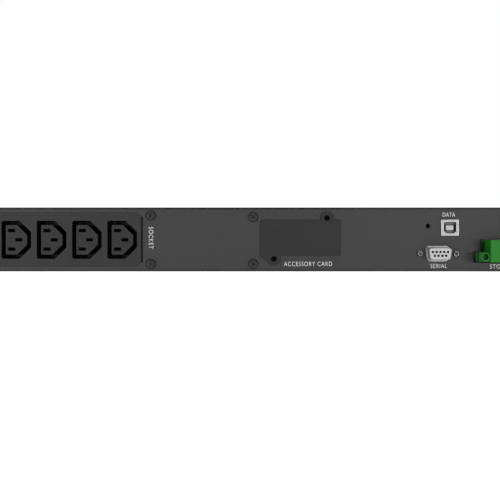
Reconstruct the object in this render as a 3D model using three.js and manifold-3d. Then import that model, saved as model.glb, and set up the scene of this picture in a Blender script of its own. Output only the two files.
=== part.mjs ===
// A one-unit (1U) rack-mount uninterruptible power supply, as an assembly of separate pieces.
// Millimetres, +Z up. The connector panel (rear) faces -Y, the display and battery drawer (front) face +Y.
// The origin is on the underside of the base pan, midway between the sides and midway between the two ends of the sheet metal.
import * as THREE from "three";
import { mergeVertices } from "three/addons/utils/BufferGeometryUtils.js";
import Module from "manifold-3d";

const wasm = await Module();
wasm.setup();

// ---------- driving dimensions ----------
const HALF_W = 219; // half the chassis width
const H = 44; // chassis height, just under one rack unit of 44.45
const Y_REAR = -230; // outer face of the rear panel
const Y_FRONT = 230; // front end of the sheet metal
const T = 1.2; // sheet thickness
const GAP = 0.3; // assembly gap between pieces
const BEZEL_Y = 247; // front face of the bezels
const BEZEL_STEP_Y = 236; // face of the lower columns at the bezels' ends
const EAR_HALF_W = 241.3; // half of the 482.6 mm over the rack ears
const EAR_HOLE_X = 232.55; // half of the 465.1 mm between rack holes
const EAR_HOLE_DZ = 15.875; // half of the 31.75 mm between a unit's outer holes
const OUTLET_X = [-161.2, -136.85, -112.5, -88.15]; // centres of the four outlets
const OUTLET_Z = 21.75;
const WELL = { w: 20.4, h: 26.2, chamfer: 7.8, depth: 16.5 }; // D-shaped trench round each outlet's core
const CORE = { x0: -7.25, x1: 7.5, h: 20.4, chamfer: 6.9 };
const BANK = { x0: -174.8, x1: -75.1, z0: 3.4, z1: 40.6 }; // face of the outlet bank
const FAN = { x: -196, z: 22, size: 40, y0: -228.4, y1: -208.4 };
const SLOT = { x0: 7.1, x1: 62.1, z0: 10.55, z1: 35.45 }; // option-slot cover
const SLOT_EARS = [
  [53.0, 36.75],
  [16.5, 8.55],
];
const USB = { x: 137.9, z: 30.1, w: 12.4, h: 11.2 };
const SERIAL = { x: 129.7, z: 12.15, pitch: 25.0 };
const PINHOLE = { x: 122.8, z: 31.3, r: 1.5 };
const EPO = { x: 170.0, x0: 161.7, x1: 178.3, z0: 6.6, z1: 21.6, ear: 7.5, hole: 3.1, zh: 10.2 };
const BREAKER = { x: 182.6, z: 32.2 };
const INLET = { x: 203.2, z: 22 };
const PANEL_SCREWS = [
  [-68.3, 38.5],
  [-68.3, 5.1],
  [2.2, 37.4],
  [2.2, 5.2],
];
const BAY = { x0: -207, x1: 103, y0: 14, y1: 228.5 }; // battery tray
const BATTERY = { x: 151, y: 94, z: 34 };
const BOARD_HOLES = [
  [-165, -201],
  [99, -201],
  [-165, -17],
  [99, -17],
];
const THUMB = [
  [-211.5, 22],
  [105.2, 22],
];
const LCD = { x0: 118.5, x1: 168.5, z0: 9.5, z1: 34.5 };
const BUTTONS = {
  power_button: [184, 27.5, 5.6],
  menu_button: [178.2, 11.5, 3.4],
  mute_button: [189.8, 11.5, 3.4],
};

// ---------- solids from three.js geometry ----------
function solid(geometry) {
  const g = geometry.index ? geometry.toNonIndexed() : geometry.clone();
  const bare = new THREE.BufferGeometry().setAttribute(
    "position",
    g.getAttribute("position"),
  );
  const merged = mergeVertices(bare, 1e-4);
  return new wasm.Manifold(
    new wasm.Mesh({
      numProp: 3,
      vertProperties: merged.attributes.position.array,
      triVerts: new Uint32Array(merged.index.array),
    }),
  );
}
function join(...parts) {
  return parts.reduce((a, b) => a.add(b));
}
function cut(body, ...tools) {
  return tools.flat().reduce((a, b) => a.subtract(b), body);
}
function box(x0, x1, y0, y1, z0, z1) {
  const g = new THREE.BoxGeometry(x1 - x0, y1 - y0, z1 - z0);
  g.translate((x0 + x1) / 2, (y0 + y1) / 2, (z0 + z1) / 2);
  return solid(g);
}
const BASES = {
  xy: [new THREE.Vector3(1, 0, 0), new THREE.Vector3(0, 1, 0), new THREE.Vector3(0, 0, 1)],
  xz: [new THREE.Vector3(1, 0, 0), new THREE.Vector3(0, 0, 1), new THREE.Vector3(0, -1, 0)],
  yz: [new THREE.Vector3(0, 1, 0), new THREE.Vector3(0, 0, 1), new THREE.Vector3(1, 0, 0)],
};
// A prism of a 2-D outline, between two values of the third axis, with prismatic holes cut through it.
function prism(plane, outline, from, to, holes = []) {
  const shape = new THREE.Shape(outline.map(([u, v]) => new THREE.Vector2(u, v)));
  const g = new THREE.ExtrudeGeometry(shape, {
    depth: to - from,
    bevelEnabled: false,
    steps: 1,
  });
  g.applyMatrix4(new THREE.Matrix4().makeBasis(...BASES[plane]));
  if (plane === "xy") g.translate(0, 0, from);
  if (plane === "yz") g.translate(from, 0, 0);
  if (plane === "xz") g.translate(0, to, 0);
  return cut(
    solid(g),
    holes.map((h) => prism(plane, h, from - 1, to + 1)),
  );
}
function circle(u, v, r, n = 16, turn = 0) {
  return Array.from({ length: n }, (_, i) => {
    const a = turn + (2 * Math.PI * i) / n;
    return [u + r * Math.cos(a), v + r * Math.sin(a)];
  });
}
function rect(u0, u1, v0, v1) {
  return [
    [u0, v0],
    [u1, v0],
    [u1, v1],
    [u0, v1],
  ];
}
function chamfered(u0, u1, v0, v1, c) {
  return [
    [u0 + c, v0],
    [u1 - c, v0],
    [u1, v0 + c],
    [u1, v1 - c],
    [u1 - c, v1],
    [u0 + c, v1],
    [u0, v1 - c],
    [u0, v0 + c],
  ];
}
function rounded(u0, u1, v0, v1, r, n = 3) {
  const out = [];
  for (const [cu, cv, a0] of [
    [u1 - r, v0 + r, -Math.PI / 2],
    [u1 - r, v1 - r, 0],
    [u0 + r, v1 - r, Math.PI / 2],
    [u0 + r, v0 + r, Math.PI],
  ])
    for (let i = 0; i <= n; i++) {
      const a = a0 + ((Math.PI / 2) * i) / n;
      out.push([cu + r * Math.cos(a), cv + r * Math.sin(a)]);
    }
  return out;
}
// A solid of revolution about an axis: the profile is [radius, distance along the axis], starting and ending on the axis.
function turned(profile, axis, [x, y, z], n = 20) {
  const g = new THREE.LatheGeometry(
    profile.map(([r, d]) => new THREE.Vector2(r, d)),
    n,
  );
  // LatheGeometry turns about +Y
  if (axis === "-y") g.rotateX(Math.PI);
  if (axis === "x") g.rotateZ(-Math.PI / 2);
  if (axis === "-x") g.rotateZ(Math.PI / 2);
  if (axis === "z") g.rotateX(Math.PI / 2);
  g.translate(x, y, z);
  const made = solid(g);
  if (made.volume() >= 0) return made;
  const flipped = g.toNonIndexed();
  const p = flipped.attributes.position.array;
  for (let i = 0; i < p.length; i += 9)
    for (let k = 0; k < 3; k++) {
      const t = p[i + 3 + k];
      p[i + 3 + k] = p[i + 6 + k];
      p[i + 6 + k] = t;
    }
  return solid(flipped);
}
function cylinder(axis, u, v, r, from, to, n = 20, turn = 0) {
  if (axis === "y") return prism("xz", circle(u, v, r, n, turn), from, to);
  if (axis === "z") return prism("xy", circle(u, v, r, n, turn), from, to);
  return prism("yz", circle(u, v, r, n, turn), from, to);
}

const group = new THREE.Group();
function material(color, roughness, metalness) {
  return new THREE.MeshStandardMaterial({ color, roughness, metalness });
}
const M = {
  chassis: material(0x464646, 0.6, 0.3),
  bank: material(0x3e3e3e, 0.65, 0.0),
  cover: material(0x383838, 0.6, 0.3),
  black: material(0x101010, 0.5, 0.0),
  bezel: material(0x1c1c1e, 0.5, 0.0),
  steel: material(0xc4c4c4, 0.35, 1.0),
  zinc: material(0xa9adb0, 0.4, 1.0),
  green: material(0x3a7f3b, 0.5, 0.0),
  pcb: material(0x1f5a35, 0.5, 0.0),
  copper: material(0xb5652b, 0.4, 0.8),
  ferrite: material(0x2b2b2d, 0.7, 0.1),
  aluminium: material(0xb9bcc0, 0.4, 1.0),
  can: material(0x1e2c4a, 0.4, 0.0),
  battery: material(0x2f3134, 0.6, 0.0),
  grey: material(0x8a8d90, 0.5, 0.0),
  red: material(0x9a1c1c, 0.5, 0.0),
  lens: material(0x20303a, 0.1, 0.0),
  plug: material(0x8a8f95, 0.5, 0.0),
};
function add(name, made, mat) {
  const m = made.getMesh();
  const n = m.numProp;
  const v = new Float32Array(m.numVert * 3);
  for (let i = 0; i < m.numVert; i++)
    for (let k = 0; k < 3; k++) v[3 * i + k] = m.vertProperties[n * i + k];
  const g = new THREE.BufferGeometry()
    .setAttribute("position", new THREE.BufferAttribute(v, 3))
    .setIndex(new THREE.BufferAttribute(new Uint32Array(m.triVerts), 1));
  g.computeVertexNormals();
  const mesh = new THREE.Mesh(g, mat);
  mesh.name = name;
  group.add(mesh);
  return made;
}

// ---------- sheet-metal casing ----------
// Base pan: floor with low upturned sides, and two tapped tabs at the front for the drawer's thumbscrews.
{
  const s = HALF_W - T - 0.4; // outside of the upturned sides
  const side = 14;
  let base = prism(
    "xz",
    [
      [-s, 0],
      [s, 0],
      [s, side],
      [s - T, side],
      [s - T, T],
      [-s + T, T],
      [-s + T, side],
      [-s, side],
    ],
    Y_REAR,
    Y_FRONT - 2,
  );
  base = cut(
    base,
    box(-s - 1, -s + T + 0.01, Y_REAR - 1, Y_REAR + T + GAP, T, side + 1),
    box(s - T - 0.01, s + 1, Y_REAR - 1, Y_REAR + T + GAP, T, side + 1),
  );
  for (const [x, z] of THUMB) {
    const x0 = x < 0 ? -s + T - 0.2 : BAY.x1 + 0.6;
    const x1 = x < 0 ? BAY.x0 - 0.4 : x + 7.5;
    const tab = box(x0, x1, 226, 227.6, T - 0.2, 30);
    base = join(base, tab);
    base = cut(base, cylinder("y", x, z, 2.3, 224, 229, 16));
  }
  add("base_chassis", base, M.chassis);
}
// Wrap-round cover: top and both full-height sides in one piece, with intake slots in the sides.
{
  const o = HALF_W;
  const i = HALF_W - T;
  const r = 1.6;
  const arc = (cx, cz, a0) =>
    [0, 1, 2, 3].map((k) => {
      const a = a0 + (Math.PI / 2) * (k / 3);
      return [cx + r * Math.cos(a), cz + r * Math.sin(a)];
    });
  let cover = prism(
    "xz",
    [
      [i, 0.5],
      [o, 0.5],
      ...arc(o - r, H - r, 0),
      ...arc(-o + r, H - r, Math.PI / 2),
      [-o, 0.5],
      [-i, 0.5],
      [-i, H - T],
      [i, H - T],
    ],
    Y_REAR,
    Y_FRONT,
  );
  const tools = [];
  // vertical intake slots: a long row beside the electronics and a shorter one on the fan's side
  for (let k = 0; k < 16; k++) {
    const y = -196 + k * 9;
    tools.push(box(i - 1, o + 1, y, y + 3.2, 17, 37));
  }
  for (let k = 0; k < 10; k++) {
    const y = -190 + k * 9;
    tools.push(box(-o - 1, -i + 1, y, y + 3.2, 17, 37));
  }
  for (const y of [166, 202]) {
    tools.push(cylinder("x", y, 22, 2.4, i - 1, o + 1, 16));
    tools.push(cylinder("x", y, 22, 2.4, -o - 1, -i + 1, 16));
  }
  cover = cut(cover, tools);
  add("top_cover", cover, M.chassis);
}
// D outline of an outlet: wide side at -X, chamfered side at +X.
function outletD(x, z, x0, x1, h, c, r) {
  return [
    [x + x0 + r, z - h / 2],
    [x + x1 - c, z - h / 2],
    [x + x1, z - h / 2 + c],
    [x + x1, z + h / 2 - c],
    [x + x1 - c, z + h / 2],
    [x + x0 + r, z + h / 2],
    [x + x0 + r * 0.3, z + h / 2 - r * 0.3],
    [x + x0, z + h / 2 - r],
    [x + x0, z - h / 2 + r],
    [x + x0 + r * 0.3, z - h / 2 + r * 0.3],
  ];
}
// 9-way D outline, wide side up.
function serialD(x, z, w, h, r = 2.2) {
  const s = Math.tan((10 * Math.PI) / 180) * h; // how much narrower the lower side is, each end
  return [
    [x - w / 2 + s + r, z - h / 2],
    [x + w / 2 - s - r, z - h / 2],
    [x + w / 2 - s - r * 0.25, z - h / 2 + r * 0.35],
    [x + w / 2 - s + 0.15, z - h / 2 + r],
    [x + w / 2, z + h / 2 - r],
    [x + w / 2 - r * 0.3, z + h / 2 - r * 0.3],
    [x + w / 2 - r, z + h / 2],
    [x - w / 2 + r, z + h / 2],
    [x - w / 2 + r * 0.3, z + h / 2 - r * 0.3],
    [x - w / 2, z + h / 2 - r],
    [x - w / 2 + s - 0.15, z - h / 2 + r],
    [x - w / 2 + s + r * 0.25, z - h / 2 + r * 0.35],
  ];
}
// Rear panel: flat plate with its cut-outs, and folded flanges along the top and bottom.
{
  const x = HALF_W - T - 0.5;
  const vents = [];
  const pitch = 5.1;
  for (let i = -5; i <= 5; i++)
    for (let j = -4; j <= 4; j++) {
      const u = (i + (j % 2 ? 0.5 : 0)) * pitch;
      const v = j * pitch * 0.866;
      if (Math.hypot(u, v) < 17.4)
        vents.push(circle(FAN.x + u, FAN.z + v, 2.15, 6, Math.PI / 6));
    }
  const opening = [
    [BANK.x0 - 0.4, BANK.z0 - 0.4],
    [BANK.x1 + 1.4 - 2.9, BANK.z0 - 0.4],
    [BANK.x1 + 1.4, BANK.z0 + 2.1],
    [BANK.x1 + 1.4, BANK.z1 - 2.1],
    [BANK.x1 + 1.4 - 2.9, BANK.z1 + 0.4],
    [BANK.x0 - 0.4, BANK.z1 + 0.4],
  ];
  const holes = [
    ...vents,
    opening,
    ...PANEL_SCREWS.map(([u, v]) => circle(u, v, 1.9, 12)),
    rect(10.5, 58.7, 12.0, 33.9),
    ...SLOT_EARS.map(([u, v]) => circle(u, v, 1.75, 12)),
    rect(USB.x - USB.w / 2 - 0.35, USB.x + USB.w / 2 + 0.35, USB.z - USB.h / 2 - 0.35, USB.z + USB.h / 2 + 0.35),
    circle(PINHOLE.x, PINHOLE.z, PINHOLE.r, 12),
    serialD(SERIAL.x, SERIAL.z, 19.2, 10.8, 2.8),
    circle(SERIAL.x - SERIAL.pitch / 2, SERIAL.z, 2.4, 12),
    circle(SERIAL.x + SERIAL.pitch / 2, SERIAL.z, 2.4, 12),
    [
      [153.9, 6.0],
      [186.1, 6.0],
      [186.1, 13.7],
      [181.4, 13.7],
      [181.4, 22.0],
      [158.6, 22.0],
      [158.6, 13.7],
      [153.9, 13.7],
    ],
    chamfered(INLET.x - 10.2, INLET.x + 10.2, INLET.z - 13.8, INLET.z + 13.8, 3),
    circle(BREAKER.x, BREAKER.z, 5.2, 20),
  ];
  let panel = prism("xz", rect(-x, x, T + 0.25, H - T - 0.25), Y_REAR, Y_REAR + T, holes);
  const fx0 = -172;
  const fx1 = 214;
  panel = join(
    panel,
    box(fx0, fx1, Y_REAR + 0.6, Y_REAR + 11, T + 0.25, 2 * T + 0.25),
    box(fx0, fx1, Y_REAR + 0.6, Y_REAR + 11, H - 2 * T - 0.25, H - T - 0.25),
  );
  add("rear_panel", panel, M.chassis);
}

// ---------- outlets ----------
// Four-gang outlet bank: one moulded face flush in the rear panel, with a D-shaped well for each outlet.
{
  const face = [
    [BANK.x0, BANK.z0],
    [BANK.x1 - 3.0, BANK.z0],
    [BANK.x1, BANK.z0 + 2.6],
    [BANK.x1, BANK.z1 - 2.6],
    [BANK.x1 - 3.0, BANK.z1],
    [BANK.x0, BANK.z1],
  ];
  let bank = join(
    prism("xz", face, Y_REAR, Y_REAR + 2.4),
    box(BANK.x0 - 0.7, BANK.x1 + 2.6, Y_REAR + T + 0.25, Y_REAR + 2.4, 2.95, 41.0),
    box(BANK.x0 + 0.5, BANK.x1 - 0.5, Y_REAR + 2.2, Y_REAR + 20, 6.2, 37.4),
  );
  for (const x of OUTLET_X)
    bank = cut(
      bank,
      prism("xz", outletD(x, OUTLET_Z, -WELL.w / 2, WELL.w / 2, WELL.h, WELL.chamfer, 1.4), Y_REAR - 1, Y_REAR + WELL.depth),
    );
  add("outlet_bank", bank, M.bank);
}
OUTLET_X.forEach((x, i) => {
  let core = prism(
    "xz",
    outletD(x, OUTLET_Z, CORE.x0, CORE.x1, CORE.h, CORE.chamfer, 0.5),
    Y_REAR + 0.1,
    Y_REAR + WELL.depth - 0.1,
  );
  for (const [dx, dz] of [
    [-3.2, 6.4],
    [1.85, 0],
    [-3.2, -6.4],
  ])
    core = cut(
      core,
      box(x + dx - 2.4, x + dx + 2.4, Y_REAR - 1, Y_REAR + 13, OUTLET_Z + dz - 1.0, OUTLET_Z + dz + 1.0),
    );
  add(`outlet_core_${i + 1}`, core, M.bank);
});

// ---------- screws ----------
// A pan-head cross-recess screw: head of radius r and height h at the given point, shank running the other way.
function panScrew(direction, at, r, h, shank, length, recess = 0.62) {
  const profile = [
    [0, -length],
    [shank, -length],
    [shank, 0],
    [r, 0],
    [r, h * 0.35],
    [r * 0.86, h * 0.8],
    [r * 0.5, h],
    [0, h],
  ];
  let s = turned(profile, direction, at, 14);
  const [x, y, z] = at;
  const a = r * recess;
  const b = r * 0.15;
  const d = h * 0.75;
  const cross = {
    "-y": [
      box(x - a, x + a, y - h - 1, y - h + d, z - b, z + b),
      box(x - b, x + b, y - h - 1, y - h + d, z - a, z + a),
    ],
    x: [
      box(x + h - d, x + h + 1, y - a, y + a, z - b, z + b),
      box(x + h - d, x + h + 1, y - b, y + b, z - a, z + a),
    ],
    "-x": [
      box(x - h - 1, x - h + d, y - a, y + a, z - b, z + b),
      box(x - h - 1, x - h + d, y - b, y + b, z - a, z + a),
    ],
  }[direction];
  return cut(s, cross);
}
PANEL_SCREWS.forEach(([x, z], i) =>
  add(`panel_screw_${i + 1}`, panScrew("-y", [x, Y_REAR - 0.05, z], 3.35, 1.7, 1.6, 7), M.cover),
);

// ---------- option slot ----------
{
  const y0 = Y_REAR - 0.1 - T;
  const y1 = Y_REAR - 0.1;
  let cover = prism("xz", chamfered(SLOT.x0, SLOT.x1, SLOT.z0, SLOT.z1, 1.6), y0, y1);
  const [tr, bl] = SLOT_EARS;
  cover = join(
    cover,
    prism("xz", circle(tr[0], tr[1], 4.4, 20), y0, y1),
    prism("xz", circle(bl[0], bl[1], 4.4, 20), y0, y1),
  );
  cover = cut(
    cover,
    cylinder("y", tr[0], tr[1], 1.75, y0 - 1, y1 + 1, 16),
    cylinder("y", bl[0], bl[1], 1.75, y0 - 1, y1 + 1, 16),
  );
  add("slot_cover", cover, M.cover);
  SLOT_EARS.forEach(([x, z], i) =>
    add(`slot_cover_screw_${i + 1}`, panScrew("-y", [x, y0 - 0.05, z], 2.1, 1.1, 1.35, 6, 0.55), M.black),
  );
  // cage that guides an option card, closed at its inner end
  const cage = cut(
    box(8.7, 60.5, Y_REAR + T + GAP, -118, 10.4, 35.0),
    box(9.7, 59.5, Y_REAR, -119, 11.3, 34.1),
    box(20, 50, -121, -117, 17, 22),
  );
  add("card_cage", cage, M.zinc);
}

// ---------- signal connectors ----------
{
  const { x, z, w, h } = USB;
  const inner = [
    [x - 2.7, z - 3.92],
    [x + 2.7, z - 3.92],
    [x + 4.22, z - 2.4],
    [x + 4.22, z + 3.92],
    [x - 4.22, z + 3.92],
    [x - 4.22, z - 2.4],
  ];
  let port = box(x - w / 2, x + w / 2, Y_REAR - 0.7, -215.2, z - h / 2, z + h / 2);
  port = cut(port, prism("xz", inner, Y_REAR - 2, Y_REAR + 8.5));
  port = join(port, box(x - 2.85, x + 2.85, Y_REAR + 0.3, Y_REAR + 9, z - 1.6, z + 1.6));
  add("usb_port", port, M.steel);
}
{
  const { x, z, pitch } = SERIAL;
  let port = join(
    prism("xz", serialD(x, z, 16.4, 8.3), Y_REAR - 5.6, Y_REAR + 3),
    prism("xz", serialD(x, z, 18.4, 10.1, 2.6), Y_REAR - 0.5, Y_REAR + 2),
    prism("xz", rounded(x - 15.4, x + 15.4, z - 6.2, z + 6.2, 1.5), Y_REAR + T + 0.15, Y_REAR + 2.1),
    box(x - 9.6, x + 9.6, Y_REAR + 1.9, -215.2, z - 5.2, z + 5.2),
  );
  const pins = [];
  for (let k = 0; k < 5; k++) pins.push([x + (k - 2) * 2.58, z + 1.36]);
  for (let k = 0; k < 4; k++) pins.push([x + (k - 1.5) * 2.58, z - 1.36]);
  port = cut(
    port,
    pins.map(([u, v]) => cylinder("y", u, v, 0.78, Y_REAR - 7, Y_REAR - 0.5, 6)),
    [-1, 1].map((s) => cylinder("y", x + (s * pitch) / 2, z, 2.2, Y_REAR, Y_REAR + 4, 12)),
  );
  add("serial_port", port, M.steel);
  for (const [side, s] of [
    ["left", -1],
    ["right", 1],
  ])
    add(
      `serial_jack_nut_${side}`,
      cut(
        cylinder("y", x + (s * pitch) / 2, z, 1.95, Y_REAR - 0.5, Y_REAR + 8, 12),
        cylinder("y", x + (s * pitch) / 2, z, 1.25, Y_REAR - 2, Y_REAR + 6.5, 10),
      ),
      M.steel,
    );
}
// Upright board carrying both signal connectors.
add(
  "comms_board",
  cut(box(108, 151, -215, -213.4, 4, 39.5), cylinder("y", 111.5, 35.5, 1.6, -217, -211, 10)),
  M.pcb,
);

// ---------- remote power-off terminal: fixed header and pull-off plug ----------
{
  const { x, x0, x1, z0, z1, ear, hole, zh } = EPO;
  const ex0 = x0 - ear;
  const ex1 = x1 + ear;
  const holes = [x0 - hole, x1 + hole];
  // header: a shroud set back behind the panel, with a post for each flange screw standing through the cut-out
  const front = Y_REAR + 4.5;
  let header = join(
    box(154.1, 185.9, front, -214, 6.3, 21.9),
    box(ex0 + 0.1, x0 - 0.35, Y_REAR - 5.3, front + 0.2, 7.0, 13.3),
    box(x1 + 0.35, ex1 - 0.1, Y_REAR - 5.3, front + 0.2, 7.0, 13.3),
  );
  header = cut(
    header,
    box(162.0, 178.0, Y_REAR - 7, -219, 8.4, 19.6),
    holes.map((u) => cylinder("y", u, zh, 1.3, Y_REAR - 7, Y_REAR - 0.5, 10)),
  );
  add("epo_header", header, M.green);
  let plug = join(
    box(x0, x1, Y_REAR - 11.2, Y_REAR - 0.2, z0, z1),
    box(162.4, 177.6, Y_REAR - 1, -219.4, 8.8, 19.2),
    box(ex0, x0 + 0.2, Y_REAR - 10, Y_REAR - 5.6, 6.9, 13.4),
    box(x1 - 0.2, ex1, Y_REAR - 10, Y_REAR - 5.6, 6.9, 13.4),
  );
  const tools = holes.map((u) => cylinder("y", u, zh, 1.75, Y_REAR - 13, Y_REAR, 12));
  // terminal screws in the top face; the wire entries are in the underside
  for (let k = -1; k <= 1; k++) {
    tools.push(cylinder("z", x + k * 5.08, Y_REAR - 6, 1.9, z1 - 2.5, z1 + 1, 12));
    tools.push(box(x + k * 5.08 - 1.7, x + k * 5.08 + 1.7, Y_REAR - 9.2, Y_REAR - 3.4, z0 - 1, z0 + 6));
  }
  plug = cut(plug, tools);
  add("epo_plug", plug, M.green);
}

// ---------- mains inlet and circuit breaker ----------
{
  const { x, z } = INLET;
  let inlet = join(
    prism("xz", rounded(x - 11.2, x + 11.2, z - 15.2, z + 15.2, 2), Y_REAR - 2.2, Y_REAR - 0.1),
    prism("xz", chamfered(x - 9.9, x + 9.9, z - 13.5, z + 13.5, 2.8), Y_REAR - 1, -208),
  );
  inlet = cut(inlet, prism("xz", outletD(x, z, -8.3, 8.3, 24.2, 4.6, 0.8), Y_REAR - 4, Y_REAR + 13.5));
  for (const [dx, dz] of [
    [-2.0, 7],
    [2.0, 0],
    [-2.0, -7],
  ])
    inlet = join(inlet, box(x + dx - 2, x + dx + 2, Y_REAR - 1.2, Y_REAR + 14, z + dz - 1, z + dz + 1));
  add("ac_inlet", inlet, M.black);
}
{
  const { x, z } = BREAKER;
  const body = cut(
    join(
      prism("xz", circle(x, z, 6.4, 6), Y_REAR - 2.6, Y_REAR - 0.1),
      cylinder("y", x, z, 4.9, Y_REAR - 3.4, Y_REAR + 3, 20),
      box(x - 7.6, x + 7.0, Y_REAR + 1.6, Y_REAR + 30, z - 7.2, z + 7.2),
    ),
    cylinder("y", x, z, 3.4, Y_REAR - 5, Y_REAR + 8, 20),
  );
  add("breaker_body", body, M.black);
  add(
    "breaker_button",
    turned(
      [
        [0, 0],
        [3.1, 0],
        [3.1, 11.6],
        [2.7, 12.2],
        [0, 12.4],
      ],
      "-y",
      [x, Y_REAR + 7.6, z],
      18,
    ),
    M.red,
  );
}

// ---------- exhaust fan ----------
{
  const { x, z, size, y0, y1 } = FAN;
  const h = size / 2;
  let frame = cut(
    prism("xz", rounded(x - h, x + h, z - h, z + h, 3, 2), y0, y1),
    cylinder("y", x, z, 18.9, y0 - 1, y1 + 1, 32),
    [-16, 16].flatMap((a) => [-16, 16].map((b) => cylinder("y", x + a, z + b, 1.7, y0 - 1, y1 + 1, 8))),
  );
  frame = join(
    frame,
    cylinder("y", x, z, 10.8, y1 - 2.4, y1, 20),
    box(x - 19.4, x + 19.4, y1 - 2.2, y1 - 0.2, z - 1.4, z + 1.4),
    box(x - 1.4, x + 1.4, y1 - 2.2, y1 - 0.2, z - 19.4, z + 19.4),
  );
  add("fan_frame", frame, M.black);
  let rotor = cylinder("y", x, z, 10.6, y0 + 1.4, y1 - 3, 16);
  for (let k = 0; k < 7; k++) {
    const g = new THREE.BoxGeometry(8.2, 15, 1.3);
    g.rotateX(0.72);
    g.translate(13.2, 0, 0);
    g.rotateY((2 * Math.PI * k) / 7);
    g.translate(x, (y0 + 1.4 + y1 - 3) / 2, z);
    rotor = join(rotor, solid(g));
  }
  add("fan_rotor", rotor, M.black);
}

// ---------- power electronics ----------
// The board carries four threaded spacers, pressed into its underside, that stand on the pan.
{
  let board = box(-170, 104, -206, -12, 6.4, 8.0);
  for (const [x, y] of BOARD_HOLES) {
    board = join(board, cylinder("z", x, y, 3, T + GAP, 6.6, 8));
  }
  board = cut(
    board,
    BOARD_HOLES.map(([x, y]) => cylinder("z", x, y, 1.6, 3, 10, 8)),
  );
  add("main_board", board, M.pcb);
}
function finned(x0, x1, y0, y1, z0, z1, n) {
  const t = 1.8;
  const pitch = (x1 - x0 - t) / (n - 1);
  const pts = [
    [x0, z0],
    [x1, z0],
  ];
  for (let k = n - 1; k >= 0; k--) {
    const a = x0 + k * pitch;
    pts.push([a + t, k === n - 1 ? z1 : z1], [a, z1]);
    if (k > 0) pts.push([a, z0 + 4], [a - pitch + t, z0 + 4]);
  }
  return prism("xz", pts, y0, y1);
}
add("heat_sink_1", finned(-166, -94, -196, -122, 8.3, 38, 11), M.aluminium);
add("heat_sink_2", finned(-166, -94, -112, -38, 8.3, 38, 11), M.aluminium);
{
  // E-core lying flat with its winding round the middle leg
  const cx = -48;
  const cy = -150;
  add(
    "transformer_core",
    prism("xy", rect(cx - 30, cx + 30, cy - 27, cy + 27), 12, 32, [
      rect(cx - 20, cx - 9, cy - 18, cy + 18),
      rect(cx + 9, cx + 20, cy - 18, cy + 18),
    ]),
    M.ferrite,
  );
  add(
    "transformer_winding",
    cut(
      box(cx - 19.4, cx + 19.4, cy - 16.5, cy + 16.5, 8.4, 36.5),
      box(cx - 9.6, cx + 9.6, cy - 30, cy + 30, 11.6, 32.4),
    ),
    M.copper,
  );
}
add(
  "bulk_capacitor_1",
  turned(
    [
      [0, 0],
      [12.2, 0],
      [12.5, 1],
      [12.5, 44],
      [12, 45],
      [0, 45],
    ],
    "y",
    [-64, -105, 21.2],
    20,
  ),
  M.can,
);
add(
  "bulk_capacitor_2",
  turned(
    [
      [0, 0],
      [12.2, 0],
      [12.5, 1],
      [12.5, 44],
      [12, 45],
      [0, 45],
    ],
    "y",
    [-36, -105, 21.2],
    20,
  ),
  M.can,
);
{
  const profile = [];
  for (let k = 0; k <= 8; k++) {
    const a = -(2 * Math.PI * k) / 8;
    profile.push([15 + 7 * Math.cos(a), 9 * Math.sin(a)]);
  }
  profile[8] = profile[0];
  add("output_inductor", turned(profile, "z", [20, -62, 18.2], 20), M.copper);
}

// ---------- battery bay ----------
// Bulkhead: rear wall of the bay and the partition beside the control column, one sheet folded to an L.
{
  let wall = prism(
    "xy",
    [
      [-215.6, 6],
      [108.2, 6],
      [108.2, 225.4],
      [107, 225.4],
      [107, 7.2],
      [-215.6, 7.2],
    ],
    T + 0.1,
    H - T - 0.6,
  );
  wall = cut(wall, box(-70, -34, 4, 9, 12.5, 31.5));
  add("bay_bulkhead", wall, M.zinc);
}
// Blind-mating battery connector: socket on the bulkhead, plug on the tray.
{
  let socket = join(
    box(-69.4, -34.6, -14, 5.7, 13, 31),
    box(-74, -30, 3.6, 5.7, 10, 34),
  );
  socket = cut(socket, box(-66, -38, -8, 8, 16, 28));
  add("battery_socket", socket, M.red);
  const plug = join(
    box(-65.5, -38.5, -7.2, BAY.y0 - 0.3, 16.5, 27.5),
    box(-72, -32, 10, BAY.y0 - 0.3, 12, 32),
  );
  add("battery_plug", plug, M.grey);
}
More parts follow.
